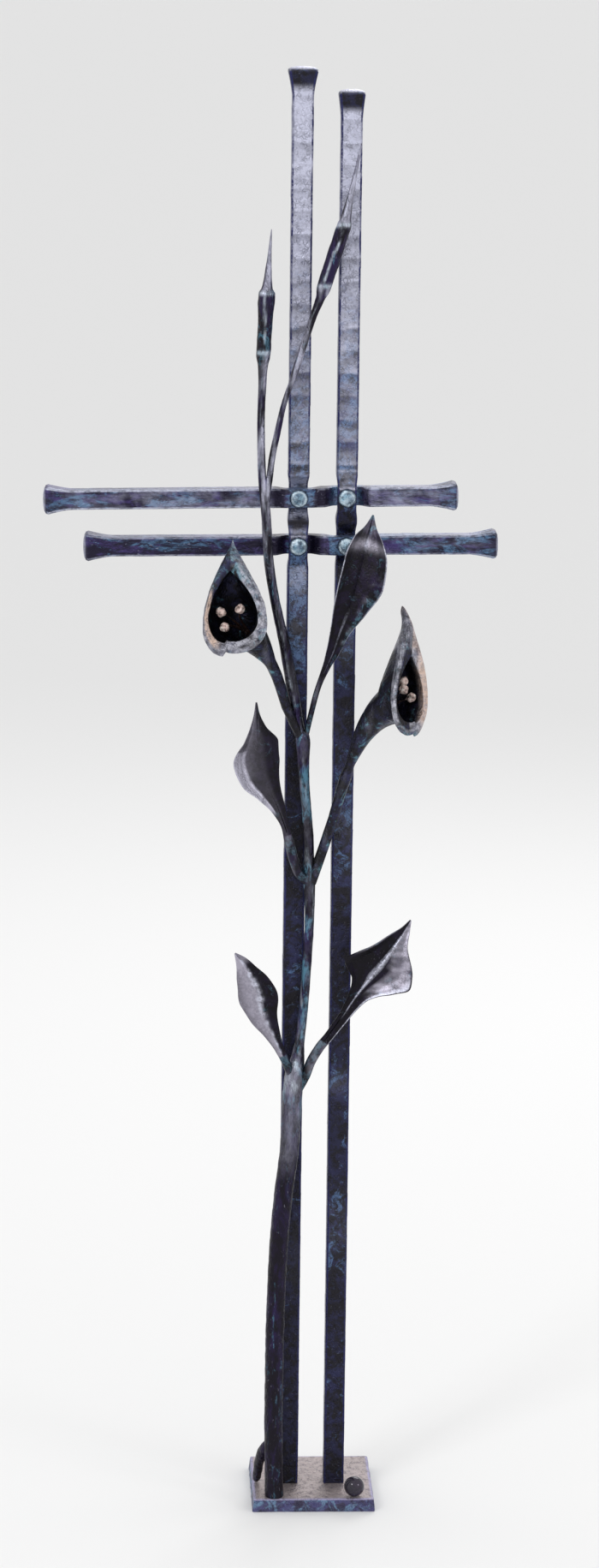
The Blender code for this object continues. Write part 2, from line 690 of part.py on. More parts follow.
# Callas: the stalk and throat as place and radius, then the middle of the mouth and the way it faces
CALLAS = {
    "calla_left": {
        "rows": [
            (-0.0212, 0.0090, 0.7600, 0.0040),
            (-0.0272, 0.0108, 0.7730, 0.0044),
            (-0.0345, 0.0130, 0.7890, 0.0046),
            (-0.0405, 0.0150, 0.8095, 0.0052),
        ],
        "mouth": (-0.0905, 0.0480, 0.8850),
        "facing": (-0.12, -0.93, 0.34),
        "roll": 2.0,
        "cup": 0.100,
        "left": 0.0260,
        "right": 0.0370,
        "tip": 0.0765,
        "bottom": 0.0428,
        "bend": 0.0160,
        "hook": 0.0000,
        "flare": 2.0,
        "stamens": ((-0.0090, 0.0040), (0.0090, 0.0060), (-0.0060, -0.0110)),
    },
    "calla_right": {
        "rows": [
            (-0.0084, 0.0068, 0.6155, 0.0048),
            (-0.0030, 0.0085, 0.6330, 0.0050),
            (0.0034, 0.0100, 0.6530, 0.0050),
            (0.0118, 0.0112, 0.6800, 0.0050),
            (0.0186, 0.0120, 0.7060, 0.0052),
            (0.0236, 0.0132, 0.7225, 0.0058),
        ],
        "mouth": (0.0832, 0.0420, 0.8015),
        "facing": (0.68, -0.70, 0.22),
        "roll": -18.6,
        "cup": 0.125,
        "left": 0.0230,
        "right": 0.0245,
        "tip": 0.0935,
        "bottom": 0.0375,
        "bend": 0.0090,
        "hook": 0.0070,
        "flare": 1.2,
        "stamens": ((0.0015, 0.0205), (0.0025, 0.0125), (0.0125, 0.0070)),
    },
}

# A flower's sections from the throat out over the lip and back in: distance behind the mouth as a share of
# the cup, share of the mouth's size (None where the flare gives it), how pointed, and 1 on the inner skin
SPATHE = [
    (0.80, None, 0.0, 0),
    (0.58, None, 0.0, 0),
    (0.40, None, 0.1, 0),
    (0.24, None, 0.3, 0),
    (0.12, None, 0.6, 0),
    (0.065, 0.95, 1.1, 0),
    (0.055, 1.00, 1.6, 0),
    (0.030, 1.00, 1.6, 0),
    (0.000, 0.91, 1.3, 0),
    (0.020, 0.80, 0.9, 0),
    (0.120, None, 0.5, 1),
    (0.240, None, 0.3, 1),
    (0.400, None, 0.1, 1),
    (0.550, None, 0.0, 1),
]


def flower_spine(shape):
    """Points along the middle of a stalk and its cup, and how many of them belong to the stalk."""
    rows = plant_rows(shape["rows"])
    mouth = Vector(plant_point(*shape["mouth"]))
    facing = Vector(shape["facing"]).normalized()
    throat = Vector(rows[-1][:3])
    rise = (throat - Vector(rows[-2][:3])).normalized()
    pull = (mouth - throat).length * SPATHE_BEND_SHARE
    handles = [throat, throat + rise * pull, mouth - facing * pull, mouth]
    line = [Vector(row[:3]) for row in rows[:-1]]
    for step in range(SPATHE_STEPS + 1):
        points = handles
        while len(points) > 1:
            points = [one.lerp(two, step / SPATHE_STEPS) for one, two in zip(points, points[1:])]
        line.append(points[0])
    return line


def carried_frames(line, facing, roll):
    """Forward and upward vectors along a line, carried back from its mouth without twisting."""
    forward = tangents_of(line)
    forward[-1] = facing
    top = Vector((0.0, 0.0, 1.0))
    top = (top - facing * top.dot(facing)).normalized()
    upward = [Matrix.Rotation(math.radians(roll), 3, facing) @ top]
    for number in range(len(line) - 2, -1, -1):
        turn = forward[number + 1].rotation_difference(forward[number])
        upward.insert(0, (turn @ upward[0]).normalized())
    return forward, upward


def flower_frames(shape):
    """Stalk lengths, the whole length, and a function giving place, side, up and forward along a flower."""
    line = flower_spine(shape)
    lengths = [0.0]
    for before, after in zip(line, line[1:]):
        lengths.append(lengths[-1] + (after - before).length)
    forward_at, upward_at = carried_frames(line, Vector(shape["facing"]).normalized(), shape["roll"])

    def spine(distance):
        number = sum(1 for length in lengths[1:-1] if length <= distance)
        share = (distance - lengths[number]) / (lengths[number + 1] - lengths[number])
        here = line[number].lerp(line[number + 1], share)
        forward = forward_at[number].lerp(forward_at[number + 1], share).normalized()
        top = upward_at[number].lerp(upward_at[number + 1], share)
        top = (top - forward * top.dot(forward)).normalized()
        return here, top.cross(forward), top, forward

    return lengths[: len(shape["rows"])], lengths[-1], spine


def calla(name, shape, material, sides):
    """A stalk that opens into a hollow trumpet: one skin from the stalk over the rolled lip and down inside."""
    stalk, total, spine = flower_frames(shape)
    stations = [(length, *[row[3]] * 4, 0.0) for length, row in zip(stalk, shape["rows"])]
    half = (shape["left"] + shape["right"]) / 2
    for back, share, point, inner in SPATHE:
        if share is None:
            flare = (1 - back / SPATHE[0][0]) ** shape["flare"]
            share = SPATHE_NECK_SHARE + (1 - SPATHE_NECK_SHARE) * flare
        mouth = max(share - SPATHE_THROAT_SHARE, 0.0) / (1 - SPATHE_THROAT_SHARE)
        sizes = [half * share + (shape[way] - half) * mouth for way in ("left", "right", "tip", "bottom")]
        stations.append((total - back * shape["cup"], *[size - SPATHE_WALL * inner for size in sizes], point))

    def place(number, angle):
        distance, left, right, tall, low, point = stations[number]
        here, side, top, forward = spine(distance)
        from_top = abs(angle)
        widest = math.acos(-point / (2 + point))
        most = math.sin(widest) * math.sin(widest / 2) ** point
        across = math.sin(from_top) * math.sin(from_top / 2) ** point / most if from_top else 0.0
        across *= right if angle > 0.0 else -left
        height = (tall - low) / 2 + (tall + low) / 2 * math.cos(from_top)
        beyond = max(height - half, 0.0) / (shape["tip"] - half)
        across -= shape["hook"] * (max(beyond - SPATHE_HOOK_SHARE, 0.0) / (1 - SPATHE_HOOK_SHARE)) ** 1.5
        return here + side * across + top * height - forward * (shape["bend"] * beyond**1.5)

    bm = blank(sides, len(stations) - 1)
    forge(bm, len(stations) - 1, place)
    return finish(bm, name, material, sharp=50.0)


def stamens(name, shape, material):
    """Three knobbed rods that fan out from one foot at the bottom of the cup."""
    total, spine = flower_frames(shape)[1:]
    depth = SPATHE[-1][0] * shape["cup"] - GAP
    rods = []
    for number, (across, height) in enumerate(shape["stamens"]):
        places = []
        for share, spread in ((0.0, 0.07), (0.08, 0.07), (0.40, 0.25), (0.64, 0.60), (0.82, 1.0)):
            here, side, top, forward = spine(total - depth * (1 - share))
            places.append(here + (side * across + top * height) * spread)
        ahead = (places[-1] - places[-2]).normalized()
        widths = (1.5, 1.4, 1.0, 1.0)
        rows = [(*place, STAMEN_ROD * width) for place, width in zip(places, widths)]
        for along, width in ((-1.0, 0.40), (-0.60, 0.85), (0.0, 1.0), (0.60, 0.80), (1.0, 0.35)):
            rows.append((*(places[-1] + ahead * (STAMEN_KNOB * along)), STAMEN_KNOB * width))
        rods.append(round_rod(f"{name}_{number}", rows, material, STAMEN_SIDES, STEM_STEP))
    whole = rods[0]
    whole.name = name
    for rod in rods[1:]:
        boolean(whole, as_guide(rod), "UNION")
    return whole


def ball(material):
    """A ball that stands on the plate on a small flat."""
    bm = bmesh.new()
    bmesh.ops.create_uvsphere(bm, u_segments=BALL_SIDES, v_segments=BALL_SIDES // 2 + 2, radius=BALL_RADIUS)
    centre = Vector((BALL_X, BALL_Y, plate_top + GAP + BALL_RADIUS - BALL_SEAT))
    bmesh.ops.translate(bm, verts=bm.verts[:], vec=centre)
    cut = bmesh.ops.bisect_plane(
        bm,
        geom=bm.verts[:] + bm.edges[:] + bm.faces[:],
        plane_co=(0, 0, plate_top + GAP),
        plane_no=(0, 0, -1),
        clear_outer=True,
    )
    rim = [item for item in cut["geom_cut"] if isinstance(item, bmesh.types.BMEdge)]
    bmesh.ops.holes_fill(bm, edges=rim, sides=0)
    return finish(bm, "ball", material)


def main():
    clear_scene()
    dark = iron("forged_iron", (0.035, 0.035, 0.060), 0.42, 0.85)
    worn = iron("worn_plate", (0.33, 0.29, 0.28), 0.55, 0.50)
    teal = iron("rivet_patina", (0.30, 0.42, 0.46), 0.50, 0.60)
    glossy = iron("ball_black", (0.02, 0.015, 0.03), 0.15, 0.60)
    pale = iron("stamen_cream", (0.62, 0.50, 0.44), 0.60, 0.20)
    base_plate(worn)
    bars = cross_bars(dark)
    rivets(bars, teal)
    main_stem(dark)
    trunk = stem_cutter()
    left, rush = bulrushes(dark)
    boolean(left, trunk, "DIFFERENCE")
    for name, shape in LEAVES.items():
        made = leaf(name, shape, dark, LEAF_SIDES, LEAF_STEP)
        boolean(made, trunk, "DIFFERENCE")
        if name == "leaf_upper_right":
            boolean(made, rush, "DIFFERENCE")
    for name, shape in CALLAS.items():
        made = calla(name, shape, dark, SPATHE_SIDES)
        boolean(made, trunk, "DIFFERENCE")
        if name == "calla_left":
            boolean(made, rush, "DIFFERENCE")
        stamens(name.replace("calla", "stamens"), shape, pale)
    ball(glossy)


main()
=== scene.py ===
# %% [markdown]
# # A forged iron grave cross, from the blank bar to the patina
# Two square uprights and two crossbars are woven together and riveted, and a plant of two callas,
# four leaves and two bulrushes grows up their front. A smith makes all of it from straight
# blanks: bars are hammered, ends are upset, stalks are drawn out and blades are spread. The
# lesson goes the same way: each piece starts as a blank made by one of Blender's mesh operators,
# and is then bent and spread into place.
#
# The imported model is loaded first. It is a fixed frame: everything here is made in its
# coordinates.

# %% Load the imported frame
import math

import bmesh
import bpy
import numpy as np
from mathutils import Matrix, Vector, noise


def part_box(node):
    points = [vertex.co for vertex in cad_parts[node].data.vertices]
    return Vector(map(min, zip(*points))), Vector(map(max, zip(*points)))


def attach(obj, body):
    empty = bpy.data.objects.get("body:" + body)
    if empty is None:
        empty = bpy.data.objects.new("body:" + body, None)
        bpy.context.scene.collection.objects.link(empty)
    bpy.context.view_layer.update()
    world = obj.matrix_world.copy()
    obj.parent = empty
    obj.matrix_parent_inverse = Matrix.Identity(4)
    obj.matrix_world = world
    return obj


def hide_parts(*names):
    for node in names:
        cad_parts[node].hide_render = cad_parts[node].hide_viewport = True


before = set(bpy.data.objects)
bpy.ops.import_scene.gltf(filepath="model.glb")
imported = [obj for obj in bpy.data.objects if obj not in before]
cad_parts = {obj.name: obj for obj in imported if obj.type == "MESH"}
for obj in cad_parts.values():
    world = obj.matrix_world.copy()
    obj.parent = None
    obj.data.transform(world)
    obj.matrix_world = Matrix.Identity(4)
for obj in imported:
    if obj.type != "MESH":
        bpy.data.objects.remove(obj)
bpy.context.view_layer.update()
print("nodes in the frame:", len(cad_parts))

# %% [markdown]
# ## Where things are
# The nodes of the frame say where each piece belongs. A few values are worked out from their
# boxes, so that the pieces made here land on the solids: the top of the plate, and the plane in
# front of the woven bars from which the plant's depth is counted. The front is -Y, and up is +Z.

# %% Measure the frame
plate_low, plate_high = [Vector(corner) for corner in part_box("base_plate")]
rivet_low, rivet_high = [Vector(corner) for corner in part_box("rivet_lower_left")]
RIVET_HEIGHT = 0.0048
GAP = 0.0003
plate_top = plate_high.z
bar_middle_y = (rivet_low.y + rivet_high.y) / 2
crossing_thick = (rivet_high.y - rivet_low.y) / 2 - RIVET_HEIGHT - 1.5 * GAP
front_face = bar_middle_y - crossing_thick - GAP / 2
print("plate top", round(plate_top, 4), "front of the bars", round(front_face, 5))


def plant_point(x, ahead, height):
    """A place given by how far it lies in front of the woven bars and how high above the plate."""
    return (x, front_face - ahead, plate_top + height)


def plant_rows(rows):
    return [plant_point(*row[:3]) + tuple(row[3:]) for row in rows]


# %% [markdown]
# ## Shader groups for the patina
# The iron is nearly black, with clouds of violet, blue and teal left by heat and handling, and
# pale metal where a hammer or a brush touched it. One group makes those clouds from noise at
# three sizes. Each point of a piece carries an attribute called finish: how worn its edge is,
# with painted edge highlights in places (red), how pale its patina is, with painted highlights
# and painted shade in places (green), and how teal it is (blue). The group mixes its colours by
# those, broken up with noise, so nothing ends in a straight line.

# %% Helpers for node trees


def new_group(name, inputs, outputs):
    """A shader node group with named sockets, and its two end nodes."""
    tree = bpy.data.node_groups.new(name, "ShaderNodeTree")
    for label, kind, value in inputs:
        socket = tree.interface.new_socket(name=label, in_out="INPUT", socket_type=kind)
        if value is not None:
            socket.default_value = value
    for label, kind in outputs:
        tree.interface.new_socket(name=label, in_out="OUTPUT", socket_type=kind)
    return tree, tree.nodes.new("NodeGroupInput"), tree.nodes.new("NodeGroupOutput")


def add(tree, kind, **settings):
    """A node with some of its settings, and values for its numbered or named sockets."""
    node = tree.nodes.new(kind)
    sockets = settings.pop("sockets", {})
    for key, value in settings.items():
        setattr(node, key, value)
    for key, value in sockets.items():
        node.inputs[key].default_value = value
    return node


def wire(tree, source, target):
    tree.links.new(source, target)


def math_node(tree, operation, first, second=None, clamp=False):
    """A Math node: its inputs are sockets or numbers."""
    node = add(tree, "ShaderNodeMath", operation=operation, use_clamp=clamp)
    for number, item in enumerate((first, second)):
        if item is None:
            continue
        if isinstance(item, (int, float)):
            node.inputs[number].default_value = item
        else:
            wire(tree, item, node.inputs[number])
    return node.outputs[0]


def mix_node(tree, factor, first, second):
    """A colour Mix node: its inputs are sockets, a number for the factor, or colours."""
    node = add(tree, "ShaderNodeMix", data_type="RGBA")
    for socket, item in ((node.inputs[0], factor), (node.inputs[6], first), (node.inputs[7], second)):
        if isinstance(item, (int, float)):
            socket.default_value = item
        elif isinstance(item, tuple):
            socket.default_value = (*item, 1.0)
        else:
            wire(tree, item, socket)
    return node.outputs[2]


def noise_node(tree, vector, scale, detail=4.0, rough=0.6, distortion=0.0):
    node = add(
        tree,
        "ShaderNodeTexNoise",
        sockets={"Scale": scale, "Detail": detail, "Roughness": rough, "Distortion": distortion},
    )
    wire(tree, vector, node.inputs["Vector"])
    return node.outputs["Fac"]


def step_node(tree, value, low, high):
    """A soft step: 0 below low, 1 above high."""
    node = add(tree, "ShaderNodeMapRange", interpolation_type="SMOOTHSTEP")
    wire(tree, value, node.inputs["Value"])
    node.inputs["From Min"].default_value = low
    node.inputs["From Max"].default_value = high
    return node.outputs["Result"]


# %% Build the heat patina group
COLOUR, NUMBER, VECTOR = "NodeSocketColor", "NodeSocketFloat", "NodeSocketVector"


def wrinkle_mask(tree, place, scale, width):
    """Thin dark lines between the small plates of forge scale, as in old leather."""
    warp = add(tree, "ShaderNodeTexNoise", sockets={"Scale": scale * 0.55, "Detail": 3.0})
    wire(tree, place, warp.inputs["Vector"])
    shift = add(tree, "ShaderNodeVectorMath", operation="MULTIPLY_ADD")
    wire(tree, warp.outputs["Color"], shift.inputs[0])
    shift.inputs[1].default_value = (1.6 / scale,) * 3
    wire(tree, place, shift.inputs[2])
    cells = add(tree, "ShaderNodeTexVoronoi", feature="DISTANCE_TO_EDGE", sockets={"Scale": scale})
    wire(tree, shift.outputs[0], cells.inputs["Vector"])
    line = math_node(tree, "SUBTRACT", 1.0, step_node(tree, cells.outputs["Distance"], 0.0, width))
    return math_node(tree, "MULTIPLY", line, step_node(tree, warp.outputs["Fac"], 0.40, 0.62))


def build_heat_patina():
    tree, given, result = new_group(
        "Heat patina",
        [
            ("Vector", VECTOR, None),
            ("Finish", COLOUR, None),
            ("Dark", COLOUR, (0.020, 0.019, 0.026, 1.0)),
            ("Violet", COLOUR, (0.06, 0.05, 0.15, 1.0)),
            ("Teal", COLOUR, (0.07, 0.15, 0.21, 1.0)),
            ("Pale", COLOUR, (0.42, 0.43, 0.54, 1.0)),
            ("Edge", COLOUR, (0.55, 0.58, 0.66, 1.0)),
            ("Clouds", NUMBER, 0.5),
            ("Wrinkles", NUMBER, 0.5),
            ("Specks", NUMBER, 0.3),
            ("Mottle", NUMBER, 0.8),
        ],
        [("Color", COLOUR), ("Roughness", NUMBER), ("Height", NUMBER)],
    )

    def times(first, second, clamp=False):
        return math_node(tree, "MULTIPLY", first, second, clamp)

    def plus(first, second):
        return math_node(tree, "ADD", first, second)

    def less(first, second):
        return math_node(tree, "SUBTRACT", first, second)

    place = given.outputs["Vector"]
    split = add(tree, "ShaderNodeSeparateColor")
    wire(tree, given.outputs["Finish"], split.inputs[0])
    wear_and_highlight, pale, teal = split.outputs[0], split.outputs[1], split.outputs[2]
    away = add(tree, "ShaderNodeVectorMath", operation="ADD", sockets={1: (4.1, 2.7, 9.3)})
    wire(tree, place, away.inputs[0])

    large = noise_node(tree, place, 45.0, 6.0, 0.65, 0.8)
    middle = noise_node(tree, place, 130.0, 6.0, 0.70, 0.5)
    fine = noise_node(tree, place, 480.0, 4.0, 0.70)
    other = noise_node(tree, away.outputs[0], 75.0, 8.0, 0.72, 1.0)
    both = times(plus(large, middle), 0.5)
    grain = times(plus(fine, middle), 0.5)

    heat = times(given.outputs["Clouds"], plus(teal, 0.30))
    violet_mask = times(step_node(tree, both, 0.45, 0.58), heat, clamp=True)
    base = mix_node(tree, violet_mask, given.outputs["Dark"], given.outputs["Violet"])
    teal_level = plus(other, times(teal, 0.24))
    teal_mask = times(step_node(tree, teal_level, 0.59, 0.72), step_node(tree, grain, 0.38, 0.54))
    base = mix_node(tree, teal_mask, base, given.outputs["Teal"])

    mottle = less(step_node(tree, grain, 0.38, 0.62), 0.5)
    mottle = plus(times(mottle, given.outputs["Mottle"]), 1.0)
    level = times(pale, mottle)
    wrinkle = wrinkle_mask(tree, place, 300.0, 0.24)
    crease = times(wrinkle, given.outputs["Wrinkles"])
    level = times(level, less(1.0, crease), clamp=True)
    speck = step_node(tree, noise_node(tree, away.outputs[0], 620.0, 2.0, 0.5), 0.64, 0.72)
    speck = times(speck, given.outputs["Specks"])
    level = math_node(tree, "MAXIMUM", level, times(speck, step_node(tree, other, 0.44, 0.58)))
    base = mix_node(tree, level, base, given.outputs["Pale"])

    edge_mask = times(wear_and_highlight, plus(step_node(tree, grain, 0.40, 0.56), 0.45))
    edge_mask = math_node(tree, "MINIMUM", edge_mask, 1.0)
    base = mix_node(tree, edge_mask, base, given.outputs["Edge"])
    wire(tree, base, result.inputs["Color"])

    rough = plus(times(grain, 0.34), 0.20)
    wire(tree, rough, result.inputs["Roughness"])
    height = less(plus(both, fine), wrinkle)
    wire(tree, height, result.inputs["Height"])
    return tree


heat_patina = build_heat_patina()
print("built", heat_patina.name, "with", len(heat_patina.nodes), "nodes")

# %% [markdown]
# ## One material for each finish
# Every forged piece uses the same group with its own values. The Principled shader stays in the
# material, and what is the same all over a surface, such as how metallic it is, is set on the
# shader itself.


# %% Make the forged materials
def forged(name, metallic, bump, stretch=(1.0, 1.0, 1.0), gloss=None, **values):
    """A patina material. stretch draws the clouds out along an axis, as they lie on drawn-out stalks."""
    material = bpy.data.materials.new(name)
    material.use_nodes = True
    tree = material.node_tree
    shader = tree.nodes["Principled BSDF"]
    shader.inputs["Metallic"].default_value = metallic
    shader.inputs["Specular IOR Level"].default_value = 0.30
    coords = add(tree, "ShaderNodeTexCoord")
    mapping = add(tree, "ShaderNodeMapping", sockets={"Scale": stretch})
    wire(tree, coords.outputs["Object"], mapping.inputs["Vector"])
    finish_note = add(tree, "ShaderNodeAttribute", attribute_name="finish")
    patina = add(tree, "ShaderNodeGroup", node_tree=heat_patina)
    for label, value in values.items():
        socket = patina.inputs[label.capitalize()]
        socket.default_value = value if isinstance(value, float) else (*value, 1.0)
    wire(tree, mapping.outputs[0], patina.inputs["Vector"])
    wire(tree, finish_note.outputs["Color"], patina.inputs["Finish"])
    wire(tree, patina.outputs["Color"], shader.inputs["Base Color"])
    if gloss is None:
        wire(tree, patina.outputs["Roughness"], shader.inputs["Roughness"])
    else:
        shader.inputs["Roughness"].default_value = gloss
        shader.inputs["Specular IOR Level"].default_value = 0.60
    relief = add(tree, "ShaderNodeBump", sockets={"Strength": bump, "Distance": 0.0010})
    wire(tree, patina.outputs["Height"], relief.inputs["Height"])
    wire(tree, relief.outputs["Normal"], shader.inputs["Normal"])
    return material


bar_iron = forged(
    "bar iron", metallic=0.6, bump=0.6,
    dark=(0.015, 0.014, 0.019), violet=(0.046, 0.052, 0.165), teal=(0.085, 0.150, 0.290),
    pale=(0.57, 0.58, 0.72), edge=(0.024, 0.026, 0.100), clouds=0.75, wrinkles=0.35, specks=0.15,
    mottle=0.40,
)
crossbar_iron = forged(
    "crossbar iron", metallic=0.6, bump=0.6, stretch=(0.40, 1.0, 1.1),
    dark=(0.015, 0.012, 0.030), violet=(0.070, 0.050, 0.185), teal=(0.080, 0.165, 0.290),
    pale=(0.40, 0.41, 0.54), edge=(0.46, 0.48, 0.60), clouds=1.0, wrinkles=0.35, specks=0.5,
)
stalk_iron = forged(
    "stalk iron", metallic=0.9, bump=0.5, stretch=(1.0, 1.0, 0.4),
    dark=(0.017, 0.015, 0.021), violet=(0.050, 0.032, 0.130), teal=(0.090, 0.210, 0.300),
    pale=(0.44, 0.44, 0.55), edge=(0.50, 0.56, 0.64), clouds=0.8, wrinkles=0.3, specks=0.25,
)
leaf_iron = forged(
    "leaf iron", metallic=0.9, bump=0.16,
    dark=(0.013, 0.012, 0.015), violet=(0.036, 0.024, 0.075), teal=(0.060, 0.120, 0.160),
    pale=(0.40, 0.38, 0.46), edge=(0.56, 0.57, 0.68), clouds=0.6, wrinkles=0.10, specks=0.15,
    mottle=0.35,
)
petal_iron = forged(
    "petal iron", metallic=0.85, bump=0.5,
    dark=(0.017, 0.016, 0.019), violet=(0.045, 0.048, 0.140), teal=(0.100, 0.220, 0.280),
    pale=(0.42, 0.42, 0.48), edge=(0.58, 0.44, 0.37), clouds=0.8, wrinkles=0.45, specks=0.1,
)
rivet_iron = forged(
    "rivet iron", metallic=0.85, bump=0.4,
    dark=(0.050, 0.070, 0.110), violet=(0.110, 0.160, 0.240), teal=(0.180, 0.310, 0.400),
    pale=(0.40, 0.52, 0.62), edge=(0.62, 0.72, 0.78), clouds=1.0, wrinkles=0.8, specks=0.4,
)
plate_iron = forged(
    "plate iron", metallic=0.55, bump=0.5,
    dark=(0.026, 0.023, 0.055), violet=(0.062, 0.062, 0.190), teal=(0.120, 0.220, 0.350),
    pale=(0.40, 0.34, 0.34), edge=(0.36, 0.34, 0.52), clouds=0.9, wrinkles=0.4, specks=0.4,
)
stamen_iron = forged(
    "stamen iron", metallic=0.25, bump=0.7,
    dark=(0.014, 0.008, 0.007), violet=(0.060, 0.024, 0.018), teal=(0.20, 0.11, 0.09),
    pale=(0.66, 0.50, 0.46), edge=(0.85, 0.80, 0.74), clouds=1.0, wrinkles=0.7, specks=0.0,
)
ball_iron = forged(
    "ball iron", metallic=0.3, bump=0.03, gloss=0.10,
    dark=(0.006, 0.005, 0.009), violet=(0.030, 0.014, 0.040), teal=(0.020, 0.020, 0.045),
    pale=(0.10, 0.08, 0.14), edge=(0.12, 0.10, 0.16), clouds=0.8, wrinkles=0.0, specks=0.0,
)
print("materials:", len(bpy.data.materials))

# %% [markdown]
# ## Blanks and forging
# A smith starts from a straight bar. So does every stalk, leaf and flower here: blank() makes a
# closed round rod with create_cone and cuts it into slices with subdivide_edges, and forge()
# moves each of its points to a place worked out from the slice and the angle round the rod. The
# rod keeps its topology, so the skin stays closed.


# %% Helpers for forging
def clamp(value, high=1.0):
    """A value kept between 0 and high."""
    return min(max(value, 0.0), high)


def smoothstep(share):
    share = clamp(share)
    return share * share * (3.0 - 2.0 * share)


def fade_in(value, start, width):
    """0 up to start, then rising softly to 1 over the width."""
    return smoothstep((value - start) / width)


def fade_out(value, end, width):
    """1 at first, then falling softly over the width to 0 at the end."""
    return smoothstep((end - value) / width)


def bell(offset, half):
    """1 in the middle, falling off on both sides."""
    return math.exp(-((offset / half) ** 2))


def stand(name, data):
    """A new object in the scene."""
    made = bpy.data.objects.new(name, data)
    bpy.context.scene.collection.objects.link(made)
    return made


def cube(size, middle):
    bm = bmesh.new()
    bmesh.ops.create_cube(bm, size=1.0)
    bmesh.ops.scale(bm, verts=bm.verts[:], vec=size)
    bmesh.ops.translate(bm, verts=bm.verts[:], vec=middle)
    return bm


def cut_across(bm, at, normal, **settings):
    """Cuts a mesh along a plane."""
    geometry = bm.verts[:] + bm.edges[:] + bm.faces[:]
    return bmesh.ops.bisect_plane(bm, geom=geometry, plane_co=at, plane_no=normal, **settings)


def paint_layer(bm):
    """The layer of points that holds the finish."""
    return bm.verts.layers.float_color.new("finish")


def square_to(way, forward):
    """A direction turned square to forward."""
    return (way - forward * way.dot(forward)).normalized()


def blank(sides, slices):
    """A closed round rod of radius 1 from z = 0 to 1, cut across into slices."""
    bm = bmesh.new()
    bmesh.ops.create_cone(bm, cap_ends=True, segments=sides, radius1=1.0, radius2=1.0, depth=1.0)
    bmesh.ops.translate(bm, verts=bm.verts[:], vec=(0.0, 0.0, 0.5))
    along = [edge for edge in bm.edges if abs(edge.verts[0].co.z - edge.verts[1].co.z) > 0.5]
    bmesh.ops.subdivide_edges(bm, edges=along, cuts=slices - 1)
    return bm


def forge(bm, slices, place):
    """Moves each point of a blank. place gives its new place and its finish: wear with painted edge
    highlights, pale and teal.
    """
    layer = paint_layer(bm)
    for vert in bm.verts:
        number = round(vert.co.z * slices)
        where, look = place(number, math.atan2(vert.co.y, vert.co.x))
        vert.co = where
        vert[layer] = (*look, 1.0)


def finish(bm, name, material, nodes, sharp=45.0):
    """Turns a closed bmesh into a piece that rides on the cross and stands for its solids."""
    bmesh.ops.recalc_face_normals(bm, faces=bm.faces[:])
    if bm.calc_volume(signed=True) < 0.0:
        bmesh.ops.reverse_faces(bm, faces=bm.faces[:])
    mesh = bpy.data.meshes.new(name)
    bm.to_mesh(mesh)
    bm.free()
    mesh.shade_smooth()
    mesh.set_sharp_from_angle(angle=math.radians(sharp))
    mesh.materials.append(material)
    piece = stand(name, mesh)
    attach(piece, "root")
    if nodes:
        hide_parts(*nodes)
    print(name, "faces:", len(mesh.polygons))
    return piece


def steady_slopes(values, knots):
    """Slopes that keep a run of widths from swelling between its points."""
    secant = np.diff(values, axis=0) / np.diff(knots)[:, None]
    slopes = np.vstack([secant[:1], np.zeros_like(secant[1:]), secant[-1:]])
    before, after = secant[:-1], secant[1:]
    same = before * after > 0.0
    slopes[1:-1] = np.where(same, 2.0 * before * after / np.where(same, before + after, 1.0), 0.0)
    return slopes


def curve_through(rows, spacing):
    """Samples of a smooth curve through rows of place and widths, no further apart than spacing."""
    rows = np.array(rows, dtype=float)
    steps = np.linalg.norm(np.diff(rows[:, :3], axis=0), axis=1)
    knots = np.concatenate([[0.0], np.cumsum(steps)])
    slopes = np.hstack([np.gradient(rows[:, :3], knots, axis=0), steady_slopes(rows[:, 3:], knots)])
    samples = [rows[0]]
    for number, step in enumerate(steps):
        pieces = max(1, math.ceil(step / spacing))
        for piece in range(1, pieces + 1):
            t = piece / pieces
            start = (2 * t**3 - 3 * t**2 + 1) * rows[number]
            start += (t**3 - 2 * t**2 + t) * step * slopes[number]
            end = (3 * t**2 - 2 * t**3) * rows[number + 1]
            end += (t**3 - t**2) * step * slopes[number + 1]
            samples.append(start + end)
    return np.array(samples)


def tangents_of(samples):
    places = [Vector(tuple(row)[:3]) for row in samples]
    last = len(places) - 1
    return [(places[min(i + 1, last)] - places[max(i - 1, 0)]).normalized() for i in range(last + 1)]


def bumps(where, size, seed=0.0):
    """Smooth noise from -1 to 1 whose bumps are about as large as size."""
    return noise.noise(Vector(where) / size + Vector((seed, 1.7 * seed, -seed)))


def streaks(where, size, seed=0.0):
    """Noise drawn out along the height, as the skin is on a stalk that was drawn out."""
    return noise.noise(Vector((where[0] / size + seed, where[1] / size, where[2] / (5.0 * size))))


# %% [markdown]
# ## Base plate
# The cross stands on a small plate of 13 mm iron. Its edges were closed up with the hammer, so
# they waver and show facets, while the top has been worn to a pinkish grey. It is a cube, cut
# into a fine grid with bisect_plane so that each small patch of an edge can be pushed in by its
# own blow.


# %% Make the base plate
PLATE_EDGE = 0.0012
PLATE_CUTS = (56, 56, 10)
PLATE_BLOW = 0.0009
PLATE_TAPER = 0.0013
PLATE_WAVE = 0.00035


